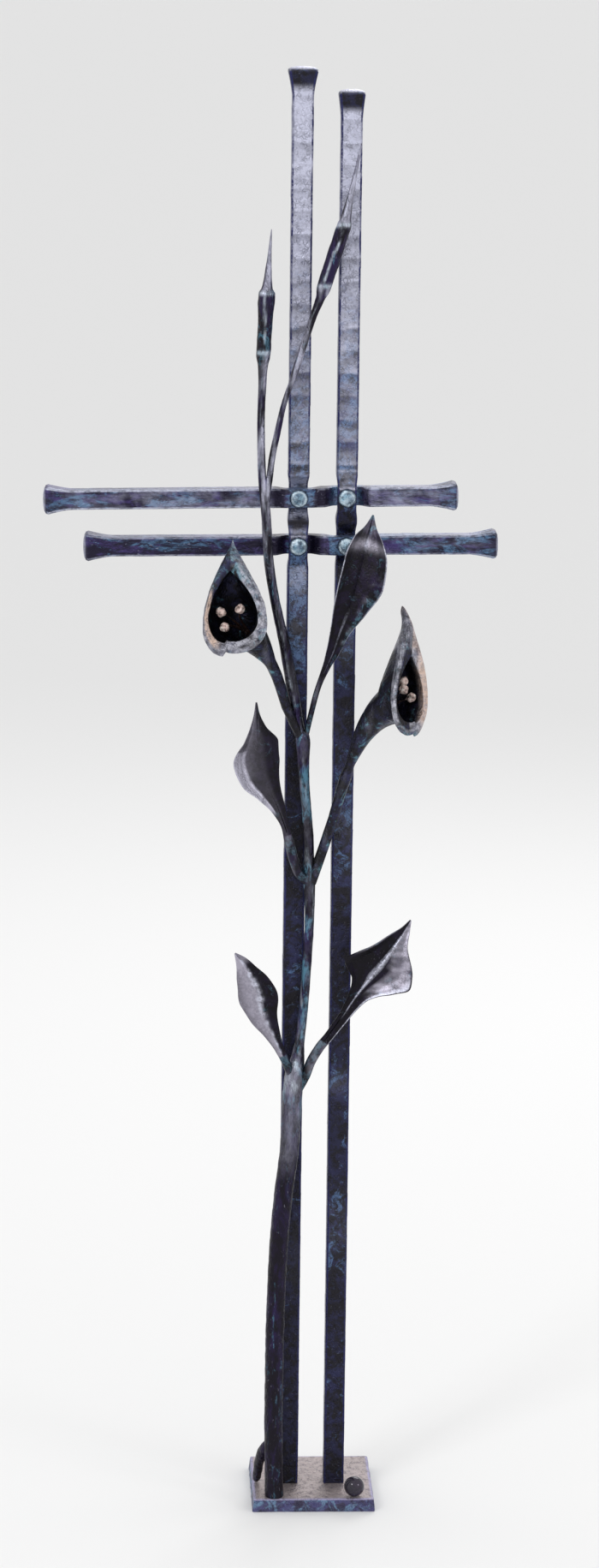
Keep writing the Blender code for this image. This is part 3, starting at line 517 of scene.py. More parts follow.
def base_plate():
    size = plate_high - plate_low
    middle = (plate_high + plate_low) / 2
    bm = cube(size, middle)
    for axis, cuts in enumerate(PLATE_CUTS):
        normal = Vector([float(axis == i) for i in range(3)])
        for number in range(1, cuts):
            cut_across(bm, plate_low.lerp(plate_high, number / cuts), normal)
    layer = paint_layer(bm)
    rounding = Vector((PLATE_EDGE, PLATE_EDGE, PLATE_EDGE))
    core_low, core_high = plate_low + rounding, plate_high - rounding
    for vert in bm.verts:
        inner = Vector([min(max(vert.co[i], core_low[i]), core_high[i]) for i in range(3)])
        out = vert.co - inner
        side = max(abs(vert.co.x - middle.x) / size.x, abs(vert.co.y - middle.y) / size.y) * 2
        top = vert.co.z > plate_high.z - PLATE_EDGE * 0.9
        place = inner + (out.normalized() * PLATE_EDGE if out.length > 0.0 else out)
        if side > 0.93:
            facet = 0.5 + 0.5 * bumps(place, 0.010, 3.0) + 0.25 * bumps(place, 0.004, 8.0)
            push = PLATE_BLOW * clamp(facet, 1.2) + PLATE_TAPER * (place.z - plate_low.z) / size.z
            flat = place - middle
            inward = [math.copysign(push, flat[i]) * (abs(flat[i]) / size[i] > 0.45) for i in (0, 1)]
            place -= Vector((*inward, 0.0))
        if top:
            place.z -= PLATE_WAVE * (0.5 + 0.5 * bumps(place, 0.018, 5.0))
        rim = fade_in(side, 0.90, 0.10)
        under = vert.co.z < plate_low.z + PLATE_EDGE * 0.9
        if top:
            look = (0.9 * rim, 1.10 - 0.45 * rim, 0.12)
        elif under:
            look = (0.4 if side > 0.97 else 0.05, 0.0, 0.55)
        else:
            look = (0.05, 0.03, 0.55)
        vert.co = place
        vert[layer] = (*look, 1.0)
    return finish(bm, "plate", plate_iron, ["base_plate"], sharp=60.0)


base_plate()

# %% [markdown]
# ## The four bars
# The uprights are 20 mm square and the crossbars 18 mm. Power hammer blows about 21 mm apart left
# a faint ladder of facets on them, their ends are upset into a flare with a domed top, and at
# each crossing the bar is flattened and stepped, one in front and one behind. The blank is a cube
# whose long edges are bevelled. Then it is sliced by subdivide_edges, and every slice is moved by
# the same rules as the solid, with the hammer's facets added.

# %% Sizes of the bars
UPRIGHT_SIDE = 0.0198
CROSSBAR_SIDE = 0.0182
BAR_EDGE = 0.0014
CROSSING_WIDTH = 0.0178
SEAT_MARGIN = 0.0012
FLARE_LENGTH = 0.0240
DOME_HEIGHT = 0.0036
BLOW_STEP = 0.0215
BLOW_DEPTH = 0.00042
BAR_SLICE = 0.0015
bars = {
    "upright_left": dict(x=-0.0241, length=1.3852, flare=0.0282),
    "upright_right": dict(x=0.0216, length=1.3645, flare=0.0248),
    "crossbar_upper": dict(left=-0.2622, right=0.1242, height=0.9868, tilt=0.88, flare=0.0266),
    "crossbar_lower": dict(left=-0.2242, right=0.1628, height=0.9410, tilt=0.62, flare=0.0266),
}
upright_middle = (bars["upright_left"]["x"] + bars["upright_right"]["x"]) / 2
run = bars["upright_right"]["x"] - bars["upright_left"]["x"]
rise = bars["crossbar_upper"]["height"] - bars["crossbar_lower"]["height"]
upright_way = {("upper", "left"): 1, ("lower", "left"): -1, ("upper", "right"): -1, ("lower", "right"): 1}


def crossing_height(row, column):
    """Height above the plate where a crossbar passes an upright."""
    bar = bars["crossbar_" + row]
    offset = bars["upright_" + column]["x"] - upright_middle
    return bar["height"] + offset * math.tan(math.radians(bar["tilt"]))


# %% Helpers for a hammered bar
def bar_blank(length, side, slices):
    """A bar from 0 to length along X, with bevelled long edges, grid ends and even slices."""
    bm = cube((length, side, side), (length / 2, 0.0, 0.0))
    corners = [edge for edge in bm.edges if abs(edge.verts[0].co.x - edge.verts[1].co.x) > length / 2]
    bmesh.ops.bevel(
        bm, geom=corners, offset=BAR_EDGE, segments=2, profile=0.5, affect="EDGES", material=-1
    )
    for share in (-0.39, -0.20, 0.0, 0.20, 0.39):
        for normal in (Vector((0, 1, 0)), Vector((0, 0, 1))):
            cut_across(bm, normal * (share * side), normal)
    along = [edge for edge in bm.edges if abs(edge.verts[0].co.x - edge.verts[1].co.x) > length / 2]
    bmesh.ops.subdivide_edges(bm, edges=along, cuts=slices - 1)
    return bm


def blow_relief(along, across, face, seed):
    """How far a face lies in or out there: flat blows side by side, with a soft step between them."""
    along += 0.0022 * bumps((along, across, face), 0.011, seed)
    number = math.floor(along / BLOW_STEP)
    share = along / BLOW_STEP - number

    def blow(count):
        level = noise.noise(Vector((count * 7.31, face * 3.17, seed)))
        tilt = noise.noise(Vector((count * 3.77, face * 5.11, seed + 40.0)))
        return level, tilt

    level, tilt = blow(number)
    after = blow(number + 1)
    here = level + tilt * (share - 0.5)
    there = after[0] - after[1] * 0.5
    edge = fade_in(share, 0.90, 0.10)
    groove = -0.55 * bell(share - 0.93, 0.035) * (0.5 + 0.5 * abs(level))
    return BLOW_DEPTH * (here * (1 - edge) + there * edge + groove)


def hammered_bar(name, length, side, crossings, flares, material, place, look, seed):
    """A forged bar. look gives the finish at a place along the bar, for a face and an edge."""
    slices = round(length / BAR_SLICE)
    bm = bar_blank(length, side, slices)
    layer = paint_layer(bm)
    half = side / 2
    for vert in bm.verts:
        along, across, depth = vert.co
        on_edge = min(abs(across), abs(depth)) > half - BAR_EDGE * 1.05
        face = 0
        if abs(abs(depth) - half) < 1e-6:
            face = 1 if depth < 0.0 else 2
        elif abs(abs(across) - half) < 1e-6:
            face = 3 if across < 0.0 else 4
        ends = ((along, -1, flares[0]), (length - along, 1, flares[1]))
        ends = [end for end in ends if end[2] is not None]
        quiet = smoothstep(min(end[0] for end in ends) / FLARE_LENGTH)
        seats = [
            (way, fade_out(abs(along - where), reach, reach - (other + SEAT_MARGIN)))
            for where, way, other, reach in crossings
        ]
        seated = max(weight for way, weight in seats)
        dent_front = blow_relief(along, across, 1 if depth < 0 else 2, seed) * quiet * (1 - seated)
        dent_side = blow_relief(along, depth, 3 if across < 0 else 4, seed) * quiet * (1 - seated)
        depth += math.copysign(dent_front, depth) * min(abs(depth) / half, 1.0)
        across += math.copysign(dent_side, across) * min(abs(across) / half, 1.0)
        flare = 0.0
        dome = 0.0
        for from_end, way, width in ends:
            share = max(1.0 - from_end / FLARE_LENGTH, 0.0)
            spread = 1.0 + (width / side - 1.0) * share**1.4
            flat = max(abs(across), abs(depth)) / half
            across *= spread
            depth *= spread
            flare = max(flare, share)
            if from_end < 1e-6:
                dome = fade_out(flat, 1.01, 0.07)
                round_off = 1.0 - 0.10 * (abs(across) * abs(depth)) / (half * spread) ** 2
                across *= round_off
                depth *= round_off
                lift = DOME_HEIGHT * math.sqrt(max(1.0 - 0.96 * min(flat, 1.0) ** 2, 0.0))
                along += way * lift
        for way, weight in seats:
            across *= 1.0 + (CROSSING_WIDTH / side - 1.0) * weight
            depth *= 1.0 + (crossing_thick / side - 1.0) * weight
            depth += way * (crossing_thick + GAP) / 2 * weight
        where = place(along, across, depth)
        vert[layer] = (*look(where, face, on_edge, flare, dome, seated), 1.0)
        vert.co = where
    return finish(bm, name, material, [name], sharp=50.0)


# %% Make the uprights
# a band of painted shade on the left upright, just below the upper crossbar
PAINTED_SHADE_BAND = (0.9762, 0.0040, 1.0)


def bands(height, *places):
    """The strongest of some soft bands, each given by its height, half width and amount."""
    return max(amount * bell(height - at, half) for at, half, amount in places)


def upright_look(column):
    """Pale lavender above the crossbars and nearly black below, with a few blue and teal clouds, painted
    shade and highlight lines at the hammer steps, and painted shade at and below the crossings with
    painted highlights on the steps beside them.
    """
    if column == "left":
        clouds = ((0.930, 0.030, 0.36), (0.870, 0.028, 0.10), (0.250, 0.030, 0.03))
        teals = ((0.925, 0.045, 0.95), (0.85, 0.05, 0.6), (0.55, 0.06, 0.25), (0.40, 0.04, 0.2))
        joggle_highlights = (
            (1.0140, 0.0046, 1.30), (0.9838, 0.0030, 1.50),
            (0.9680, 0.0030, 0.40), (0.9632, 0.0012, 0.70),
        )
    else:
        clouds = ((0.885, 0.035, 0.10), (0.700, 0.060, 0.05), (0.428, 0.012, 0.08), (0.278, 0.030, 0.05))
        teals = (
            (0.885, 0.05, 0.70), (0.69, 0.07, 0.50), (0.428, 0.02, 0.4),
            (0.278, 0.05, 0.42), (0.11, 0.06, 0.2),
        )
        joggle_highlights = ((1.0255, 0.0016, 0.75), (1.0150, 0.0040, 0.30), (1.0095, 0.0013, 0.95))

    def look(where, face, on_edge, flare, dome, seated):
        height = where.z
        if dome > 0.0:
            return 0.0, dome * (1.2 if column == "right" else 0.95), 0.4
        heights = (0.995, 1.010, 1.10, 1.16, 1.26, 1.36)
        pale = float(np.interp(height, heights, (0.0, 0.34, 0.38, 0.64, 0.86, 0.96)))
        # painted shade in a band below each hammer step, and a painted highlight line just above the step
        stripe = (height + 0.0035 * bumps(where, 0.016, 9.0)) / BLOW_STEP % 1.0
        shade = fade_in(stripe, 0.35, 0.55) * fade_out(stripe, 1.0, 0.06)
        low_down = fade_out(height, 1.33, 0.25)
        patchy = clamp(0.70 + 0.9 * bumps(where, 0.03, 5.0))
        pale *= 1.0 - (0.25 + 0.55 * low_down) * shade * patchy
        pale *= 1.0 + 0.35 * bell(stripe - 0.07, 0.06) * patchy
        pale *= 1.0 + 0.30 * bumps(where, 0.014, 2.0)
        low = bands(height, *clouds) * (0.6 + 0.9 * max(bumps(where, 0.020, 6.0) + 0.3, 0.0))
        pale = max(pale, low, 0.0)
        # painted light at the crossings: painted shade over the seated part, painted highlights on the
        # steps beside it, and on the left a band of painted shade below the upper crossbar
        light_wobble = bumps(where, 0.006, 3.0)
        pale *= 1.0 - 0.95 * smoothstep(seated / 0.5)
        pale = max(pale, min(bands(height + 0.0012 * light_wobble, *joggle_highlights) * max(0.85 + 0.9 * light_wobble, 0.0), 1.0))
        black = bands(height + 0.0008 * light_wobble, PAINTED_SHADE_BAND) if column == "left" else 0.0
        pale *= 1.0 - black
        if flare > 0.0:
            pale *= 1.0 - fade_in(flare, 0.15, 0.40)
        side = 0.55 if face == 3 else 0.0
        line = clamp(0.75 + 0.9 * bumps(where, 0.02, 3.0), 0.95) if on_edge else 0.0
        cool = 0.60 * fade_in(height, 1.00, 0.02) * fade_out(height, 1.30, 0.20)
        cool = max(bands(height, *teals), 0.3 * seated, cool) * (1.0 - black) - 0.28 * black
        return max(line, side) * (1.0 - black), max(pale, 0.0), cool

    return look


def upright_place(x):
    foot = plate_top + GAP
    return lambda along, across, depth: Vector((x + across, bar_middle_y + depth, foot + along))


for number, column in enumerate(("left", "right")):
    bar = bars["upright_" + column]
    stops = [
        (crossing_height(row, column) - GAP, upright_way[row, column], CROSSBAR_SIDE / 2, rise / 2 - GAP)
        for row in ("lower", "upper")
    ]
    hammered_bar(
        "upright_" + column,
        bar["length"],
        UPRIGHT_SIDE,
        stops,
        (None, bar["flare"]),
        bar_iron,
        upright_place(bar["x"]),
        upright_look(column),
        11.0 + number,
    )


# %% Make the crossbars
LEFT_FADE = (-0.17, 0.05)
# painted shade on the crossbars' fronts beside the left crossings: each row gives x, half width and
# amount
joggle_shade = {
    "upper": ((-0.0429, 0.0065, 1.0), (-0.0024, 0.0066, 1.0)),
    "lower": ((-0.0429, 0.0070, 0.9), (-0.0081, 0.0080, 0.9)),
}


def crossbar_look(row):
    """Violet and teal clouds on a dark face, painted light on the top face, a painted highlight along the
    top edge, and painted shade on the slopes beside the crossings.
    """

    def look(where, face, on_edge, flare, dome, seated):
        if dome > 0.0:
            return 0.0, 0.75 * dome, 0.3
        level = 0.26 if row == "upper" else 0.01 + 0.09 * (where.x > 0.0)
        level *= 1.0 - 0.55 * fade_out(where.x, *LEFT_FADE)
        drawn = Vector((where.x / 3.0, where.y, where.z))
        pale = level * max(0.9 + 1.8 * bumps(drawn, 0.009, 4.0) + 0.9 * bumps(where, 0.004, 1.0), 0.0)
        # painted light: the top face is painted pale as if lit from above
        if face == 4:
            pale = 0.48
        # painted shade on the joggle slopes, over the crossings and beside them
        slope = bell(seated - 0.25, 0.35) * (seated > 0.0)
        slope = max(0.6 * slope, min(1.4 * bands(where.x, *joggle_shade[row]), 1.0))
        pale = pale * (1.0 - 0.97 * slope) * (1.0 - 0.5 * seated)
        pale *= 1.0 - 0.55 * smoothstep(flare / 0.7)
        # painted highlight along the top edge
        top_edge = on_edge and face != 3 and seated < 0.5
        wear_and_highlight = 0.85 if top_edge and face != 2 else 0.0
        warm = 0.45 if row == "upper" else 0.35 + 0.25 * (where.x > 0.0)
        # the painted shade also takes the violet out
        warm = (warm + 0.5 * seated) * (1.0 - slope) - 0.28 * slope
        return wear_and_highlight * (1.0 - 0.7 * slope) * (0.5 if row == "lower" else 1.0), max(pale, 0.0), warm

    return look


def crossbar_place(bar):
    centre = Vector((upright_middle, bar_middle_y, plate_top + bar["height"]))
    turn = Matrix.Rotation(math.radians(-bar["tilt"]), 3, "Y")
    start = bar["left"] - upright_middle
    return lambda along, across, depth: centre + turn @ Vector((start + along, depth, across))


for number, row in enumerate(("upper", "lower")):
    bar = bars["crossbar_" + row]
    stops = []
    for column in ("left", "right"):
        where = bars["upright_" + column]["x"] - bar["left"]
        stops.append((where, -upright_way[row, column], UPRIGHT_SIDE / 2, run / 2 - GAP))
    hammered_bar(
        "crossbar_" + row,
        bar["right"] - bar["left"],
        CROSSBAR_SIDE,
        stops,
        (bar["flare"], bar["flare"]),
        crossbar_iron,
        crossbar_place(bar),
        crossbar_look(row),
        21.0 + number,
    )

# %% [markdown]
# ## Rivets
# A rivet holds each crossing. Its head was set hot with a few hammer blows, so it is a low dome
# with flat facets and a pale teal skin. The head is a profile turned with spin, and each blow is
# a plane that pushes down whatever stands above it.

# %% Make the rivets
RIVET_HEAD = 0.0089
RIVET_SHANK = 0.0040
BLOW_LEAN = 0.55
blows = [(0.0, 0.0, 0.88), (0.5, 0.3, 0.93), (-0.45, 0.4, 0.94), (0.1, -0.6, 0.93), (-0.5, -0.35, 0.95)]


def rivet(row, column):
    name = f"rivet_{row}_{column}"
    low, high = [Vector(corner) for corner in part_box(name)]
    centre = (low + high) / 2
    half = (high.y - low.y) / 2
    face = half - RIVET_HEIGHT
    arc = [math.radians(step * 7.5) for step in range(12, -1, -1)]
    head = [(RIVET_HEAD * math.cos(a) ** 0.8, face + RIVET_HEIGHT * math.sin(a) ** 1.1) for a in arc]
    outline = [(0.0, half)] + head[1:] + [(RIVET_SHANK, face)]
    outline += [(r, -y) for r, y in reversed(outline)]
    bm = bmesh.new()
    line = [bm.verts.new((max(r, 0.0), y, 0.0)) for r, y in outline]
    edges = [bm.edges.new(pair) for pair in zip(line, line[1:])]
    bmesh.ops.spin(
        bm, geom=line + edges, cent=(0, 0, 0), axis=(0, 1, 0), angle=math.tau, steps=40, use_merge=True
    )
    bmesh.ops.remove_doubles(bm, verts=bm.verts[:], dist=1e-6)
    layer = paint_layer(bm)
    turn = Matrix.Rotation(noise.random() * 3.0, 3, "Y")
    for vert in bm.verts:
        side = math.copysign(1.0, vert.co.y)
        reach = math.hypot(vert.co.x, vert.co.z) / RIVET_HEAD
        for lean_x, lean_z, level in blows:
            normal = (turn @ Vector((lean_x * BLOW_LEAN, side, lean_z * BLOW_LEAN))).normalized()
            top = Vector((0.0, side * face, 0.0))
            above = (vert.co - top).dot(normal) - level * RIVET_HEIGHT * 1.02
            if above > 0.0 and vert.co.y * side > face:
                vert.co -= normal * above
        dark = fade_in(reach, 0.80, 0.14)
        rough = bumps(vert.co + centre, 0.004, 2.0)
        ring = bell(reach - 0.74, 0.07)
        pale = (0.42 + 0.75 * rough) * (1.0 - 0.9 * dark)
        vert[layer] = (0.55 * ring + 0.5 * max(rough - 0.1, 0.0), max(pale, 0.0), 0.7 * (1.0 - dark), 1.0)
    bmesh.ops.translate(bm, verts=bm.verts[:], vec=centre)
    return finish(bm, name, rivet_iron, [name], sharp=25.0)


noise.seed_set(4)
for row, column in upright_way:
    rivet(row, column)

# %% [markdown]
# ## The main stem
# The stem is a round bar that was drawn thinner after each fork, with a swelling where the side
# stalks are welded on. A list gives its place, how far it stands ahead of the bars, its height
# and its radius. The rod's surface gets the shallow flats of the planishing hammer, and its foot
# has a root-like toe.

# %% The stem's route
MAIN_STEM = [
    (-0.0386, 0.0284, 0.0003, 0.0096),
    (-0.0392, 0.0283, 0.0200, 0.0091),
    (-0.0400, 0.0272, 0.0900, 0.0092),
    (-0.0396, 0.0250, 0.1560, 0.0092),
    (-0.0381, 0.0222, 0.2160, 0.0093),
    (-0.0360, 0.0196, 0.2620, 0.0093),
    (-0.0315, 0.0164, 0.3140, 0.0093),
    (-0.0272, 0.0136, 0.3480, 0.0095),
    (-0.0250, 0.0118, 0.3910, 0.0098),
    (-0.0228, 0.0108, 0.4220, 0.0098),
    (-0.0198, 0.0085, 0.4400, 0.0070),
    (-0.0176, 0.0064, 0.4580, 0.0048),
    (-0.0148, 0.0051, 0.4840, 0.0045),
    (-0.0118, 0.0049, 0.5300, 0.0045),
    (-0.0097, 0.0050, 0.5720, 0.0046),
    (-0.0096, 0.0056, 0.5980, 0.0051),
    (-0.0104, 0.0064, 0.6160, 0.0060),
    (-0.0108, 0.0062, 0.6320, 0.0056),
    (-0.0108, 0.0054, 0.6520, 0.0048),
    (-0.0128, 0.0053, 0.6780, 0.0048),
    (-0.0156, 0.0056, 0.7080, 0.0049),
    (-0.0172, 0.0068, 0.7350, 0.0058),
    (-0.0178, 0.0076, 0.7520, 0.0070),
    (-0.0184, 0.0076, 0.7600, 0.0064),
    (-0.0190, 0.0076, 0.7640, 0.0040),
]
ROOT_TOE = [
    (-0.0392, 0.0283, 0.0560, 0.0050),
    (-0.0468, 0.0240, 0.0500, 0.0052),
    (-0.0520, 0.0140, 0.0340, 0.0050),
    (-0.0545, 0.0020, 0.0150, 0.0046),
    (-0.0550, -0.0060, 0.0049, 0.0042),
    (-0.0548, -0.0100, 0.0032, 0.0028),
]


# %% Make the stem and its toe
def round_rod(
    name, rows, sides, spacing, material, look, nodes=(), flats=0.05, seed=0.0
):
    """A round rod with hammer flats. look gives the finish for a place and the share round the front."""
    samples = curve_through(rows, spacing)
    ahead = tangents_of(samples)
    slices = len(samples) - 1

    def place(number, angle):
        forward = ahead[number]
        front = square_to(Vector((0.0, -1.0, 0.0)), forward)
        side = forward.cross(front)
        radius = samples[number][3]
        at = Vector(samples[number][:3])
        out = side * math.cos(angle) + front * math.sin(angle)
        skin = at + out * radius
        dent = bumps(skin, 0.0085, seed) + 0.5 * bumps(skin, 0.0035, seed + 5.0)
        radius *= 1.0 + flats * (dent - 0.35)
        where = at + out * radius
        return where, look(where, math.sin(angle), math.cos(angle))

    bm = blank(sides, slices)
    forge(bm, slices, place)
    return finish(bm, name, material, list(nodes))


def stem_look(where, front, side):
    """Black low down, and from below the first fork upwards teal streaks and lavender streaks that are
    partly painted highlights, with painted shade towards the sides below the fork and a painted teal
    glint low on the stem.
    """
    height = where.z
    heights = (0.335, 0.360, 0.43, 0.49, 0.66, 0.72, 0.80)
    rise_up = float(np.interp(height, heights, (0.0, 0.24, 0.32, 0.12, 0.10, 0.13, 0.05)))
    wild = 0.3 + 0.7 * fade_in(height, 0.43, 0.03)
    # the pale streaks are partly painted highlights along the stem
    rough = 1.6 * streaks(where, 0.006, 3.0) + 0.8 * bumps(where, 0.005, 1.0)
    patchy = max(1.0 - 0.55 * wild + wild * rough, 0.0)
    # painted shade towards the stem's sides below the first fork
    patchy *= 1.0 - (1.0 - wild) * 0.75 * fade_in(abs(side), 0.45, 0.5)
    knob = bell(height - 0.436, 0.012)
    pale = rise_up * patchy + 0.18 * knob
    teal = 0.05 + 0.75 * fade_in(height, 0.36, 0.05) * max(0.5 + 1.2 * bumps(where, 0.02, 7.0), 0.0)
    # painted highlight: a teal glint line low on the stem's left front
    glint = bell(side + 0.15, 0.10) * (front > 0.0)
    teal += 0.9 * glint * fade_out(height, 0.25, 0.02) * fade_in(height, 0.16, 0.02)
    wear_and_highlight = max(streaks(where, 0.004, 1.0) - 0.18, 0.0) * fade_in(height, 0.36, 0.08)
    wear_and_highlight *= 1.0 - 0.35 * fade_in(height, 0.62, 0.04)
    return wear_and_highlight, pale, teal


stem, toe = plant_rows(MAIN_STEM), plant_rows(ROOT_TOE)
round_rod("main_stem", stem, 28, 0.0026, stalk_iron, stem_look, nodes=["main_stem"], flats=0.045)
round_rod("root_toe", toe, 20, 0.0022, stalk_iron, stem_look, flats=0.12, seed=3.0)

# %% [markdown]
# ## Bulrushes
# Each bulrush is one bar: a thin stem, a sharp shoulder, a drum that is left thick and a long
# drawn point. The rows after the stem give those steps as shares of the head's own radius.

# %% Make the bulrushes
BULRUSH_HEAD = 0.0068
BULRUSH_STEM = 0.0036
BULRUSH_LEFT = [
    (-0.0186, 0.0078, 0.7560, 1.25),
    (-0.0222, 0.0074, 0.7690, 1.40),
    (-0.0256, 0.0073, 0.7890, 1.50),
    (-0.0295, 0.0074, 0.8110, 1.60),
    (-0.0374, 0.0072, 0.8520, 1.45),
    (-0.0466, 0.0070, 0.8930, 1.28),
    (-0.0524, 0.0070, 0.9300, 1.30),
    (-0.0552, 0.0068, 0.9700, 1.30),
    (-0.0592, 0.0064, 1.0080, 1.10),
    (-0.0606, 0.0058, 1.0400, 1.05),
    (-0.0606, 0.0056, 1.0720, 1.02),
    (-0.0598, 0.0056, 1.0960, 1.10),
    (-0.0596, 0.0056, 1.1120, 1.36),
]
BULRUSH_LEFT_TOP = (-0.0566, 0.0062, 1.1810)
BULRUSH_LEFT_TIP = (-0.0528, 0.0090, 1.2400)
BULRUSH_RIGHT = [
    (-0.0552, 0.0072, 0.9860, 0.80),
    (-0.0525, 0.0076, 1.0060, 0.88),
    (-0.0502, 0.0080, 1.0260, 0.88),
    (-0.0450, 0.0084, 1.0520, 0.86),
    (-0.0390, 0.0088, 1.0790, 0.72),
    (-0.0328, 0.0090, 1.0970, 0.76),
    (-0.0284, 0.0092, 1.1110, 0.92),
    (-0.0188, 0.0096, 1.1420, 0.94),
    (-0.0136, 0.0098, 1.1580, 0.96),
    (-0.0068, 0.0100, 1.1760, 1.24),
]
BULRUSH_RIGHT_TOP = (0.0150, 0.0104, 1.2450)
BULRUSH_RIGHT_TIP = (0.0300, 0.0110, 1.3200)


def bulrush_rows(stem, top, tip, slope):
    """Adds the head and its long point to a stem: a shoulder, a drum that widens upwards, and a spike."""
    rows = [(*row[:3], row[3] * BULRUSH_STEM) for row in stem]
    base = Vector(stem[-1][:3])
    head = Vector(top)
    lift = (head - base).normalized()
    start = base + lift * 0.0090
    for place, radius in (
        (start, 0.98),
        (start.lerp(head, 0.08), 1.02),
        (start.lerp(head, 0.55), 1.04),
        (start.lerp(head, 0.88), 1.04 + slope),
        (head, 1.02 + slope),
    ):
        rows.append((*place, radius * BULRUSH_HEAD))
    for share, radius in ((0.06, 0.80), (0.30, 0.50), (0.62, 0.27), (0.88, 0.14), (1.0, 0.05)):
        rows.append((*head.lerp(Vector(tip), share), radius * BULRUSH_HEAD))
    return plant_rows(rows)


def rush_look(head_low, head_high):
    """Pale streaks on a dark stem, a violet drum with one painted highlight line, pale shoulders and a
    pale point.
    """

    def look(where, front, side):
        drum = fade_in(where.z, head_low, 0.003) * fade_out(where.z, head_high, 0.003)
        point = fade_in(where.z, head_high, 0.004)
        rings = max(bell(where.z - at, 0.0020) for at in (head_low, head_high))
        rise_up = 0.15 + 0.85 * fade_in(where.z, 0.90, 0.12)
        pale = rise_up * max(0.30 + 1.5 * streaks(where, 0.005, 2.0), 0.0) * (1.0 - drum)
        pale = max(pale, 0.60 * point * (1.0 - fade_in(abs(side), 0.6, 0.3)))
        # painted highlight: one pale line down the front, strongest on the drum
        line = fade_out(abs(side + 0.15 + 0.3 * streaks(where, 0.008, 6.0)), 0.22, 0.15) * (front > 0.0)
        painted_highlight = 0.75 * line * (0.3 + 0.7 * drum) * (0.55 + 1.2 * bumps(where, 0.007, 4.0))
        return clamp(max(painted_highlight, 0.5 * rings)), pale, 0.14 + 0.5 * rings

    return look


left_rows = bulrush_rows(BULRUSH_LEFT, BULRUSH_LEFT_TOP, BULRUSH_LEFT_TIP, 0.16)
right_rows = bulrush_rows(BULRUSH_RIGHT, BULRUSH_RIGHT_TOP, BULRUSH_RIGHT_TIP, -0.02)
for name, rows, look, seed in (
    ("bulrush_left", left_rows, rush_look(1.138, 1.194), 1.0),
    ("bulrush_right", right_rows, rush_look(1.201, 1.258), 2.0),
):
    round_rod(name, rows, 24, 0.0022, stalk_iron, look, nodes=[name], seed=seed)

# %% [markdown]
# ## Leaves
# A leaf is a stalk whose end was hammered out. Its section passes from a circle to a thin folded
# lens with a sharp vein and a rolled lip. Each leaf has its own route, and two half widths at
# each row of its blade, so that its outline is the smith's and not a copy of its neighbour's.

# %% How each leaf is finished
def stalk_grain(where):
    return max(0.7 + 1.4 * bumps(where, 0.006, 2.0), 0.0)


def leaf_stalk_look(where):
    """A black stalk with a faint violet and lavender side, bluer on the lowest one to the right."""
    blue = fade_in(where.x, -0.012, 0.008) * fade_out(where.z, 0.52, 0.02)
    pale = 0.02 + 0.45 * max(streaks(where, 0.006, 3.0), 0.0) + 0.30 * blue * stalk_grain(where)
    return 0.0, pale, 0.50 + 0.25 * blue


def leaf_look_upper_right(where, across, along):
    """Black halves with a soft light near the tip, thin pale lips and a thin vein."""
    shine = bell(along - 0.880 + 0.02 * abs(across), 0.022) * (1.0 - 0.45 * abs(across))
    vein = bell(across, 0.030) * fade_out(along, 0.62, 0.1) * fade_in(along, 0.30, 0.05)
    lip = fade_in(abs(across), 0.93, 0.06) * (0.75 if across < 0.0 else 0.45)
    tip = fade_in(along, 0.90, 0.04)
    mottle = max(bumps(where, 0.005, 2.0), 0.0)
    violet = fade_in(across, 0.3, 0.4) * fade_out(along, 0.80, 0.1)
    pale = 0.55 * shine + 0.12 * tip + 0.30 * violet * mottle
    return max(0.50 * vein, lip, 0.6 * shine * bell(across, 0.08)), pale, 0.10 + 0.5 * violet + 0.5 * tip


def leaf_look_middle_left(where, across, along):
    """Dark grey satin that lightens to the lower left, with a pale curled edge there."""
    low = fade_out(along, 0.775, 0.03) * fade_in(along, 0.40, 0.06)
    curl = fade_out(across, -0.48, 0.14) * low
    satin = 0.10 + 0.30 * fade_out(across, 0.1, 1.1) * fade_in(along, 0.60, 0.08)
    satin *= 1.0 - 0.9 * fade_in(across, 0.10, 0.35)
    streak = 0.8 + 0.6 * streaks(where, 0.004, 2.0)
    return 0.25 * curl, max(satin * (1.0 - curl), 1.15 * curl * streak), 0.05 + 0.3 * curl


def leaf_look_lower_left(where, across, along):
    """A pinkish-grey left half, a mottled pale band along the ridge, a black right half and a painted
    highlight at the tip.
    """
    left = fade_out(across, 0.05, 0.14)
    # painted highlight at the tip
    band = bell(across + 0.04, 0.17)
    tip = fade_in(along, 0.88, 0.06)
    mottle = max(0.5 + 1.3 * bumps(where, 0.005, 2.0), 0.0)
    shade = 1.0 - 0.35 * fade_out(across, -0.55, 0.4) * (1.0 - tip)
    return 0.85 * band * mottle, (0.80 * left + 0.6 * tip) * shade, 0.5 * band


def leaf_look_lower_right(where, across, along):
    """A black upper half, a bright ridge, and below it a black trough and a pale lavender facet."""
    trough = fade_out(along, 0.84, 0.12)
    facet = smoothstep((across - 0.02 - 0.26 * trough) / 0.10) * fade_out(across, 0.95, 0.04)
    facet *= fade_in(along, 0.56, 0.10)
    ridge = bell(across + 0.01, 0.040) * fade_in(along, 0.40, 0.1)
    lip = fade_in(across, 0.84, 0.05) * fade_out(across, 0.97, 0.03) * fade_out(along, 0.80, 0.1)
    upper = fade_out(across, -0.86, 0.08) * fade_in(along, 0.70, 0.08)
    mottle = 0.85 + 0.9 * streaks(Vector((where.z, where.y, where.x)), 0.004, 2.0)
    pale = 0.80 * facet * max(mottle, 0.1) + 0.40 * upper
    return max(0.85 * ridge, 0.8 * lip), pale, 0.35 * facet + 0.6 * upper


# %% The leaves' routes
LEAF_THICK = 0.0026
LEAF_SLICE = 0.0016
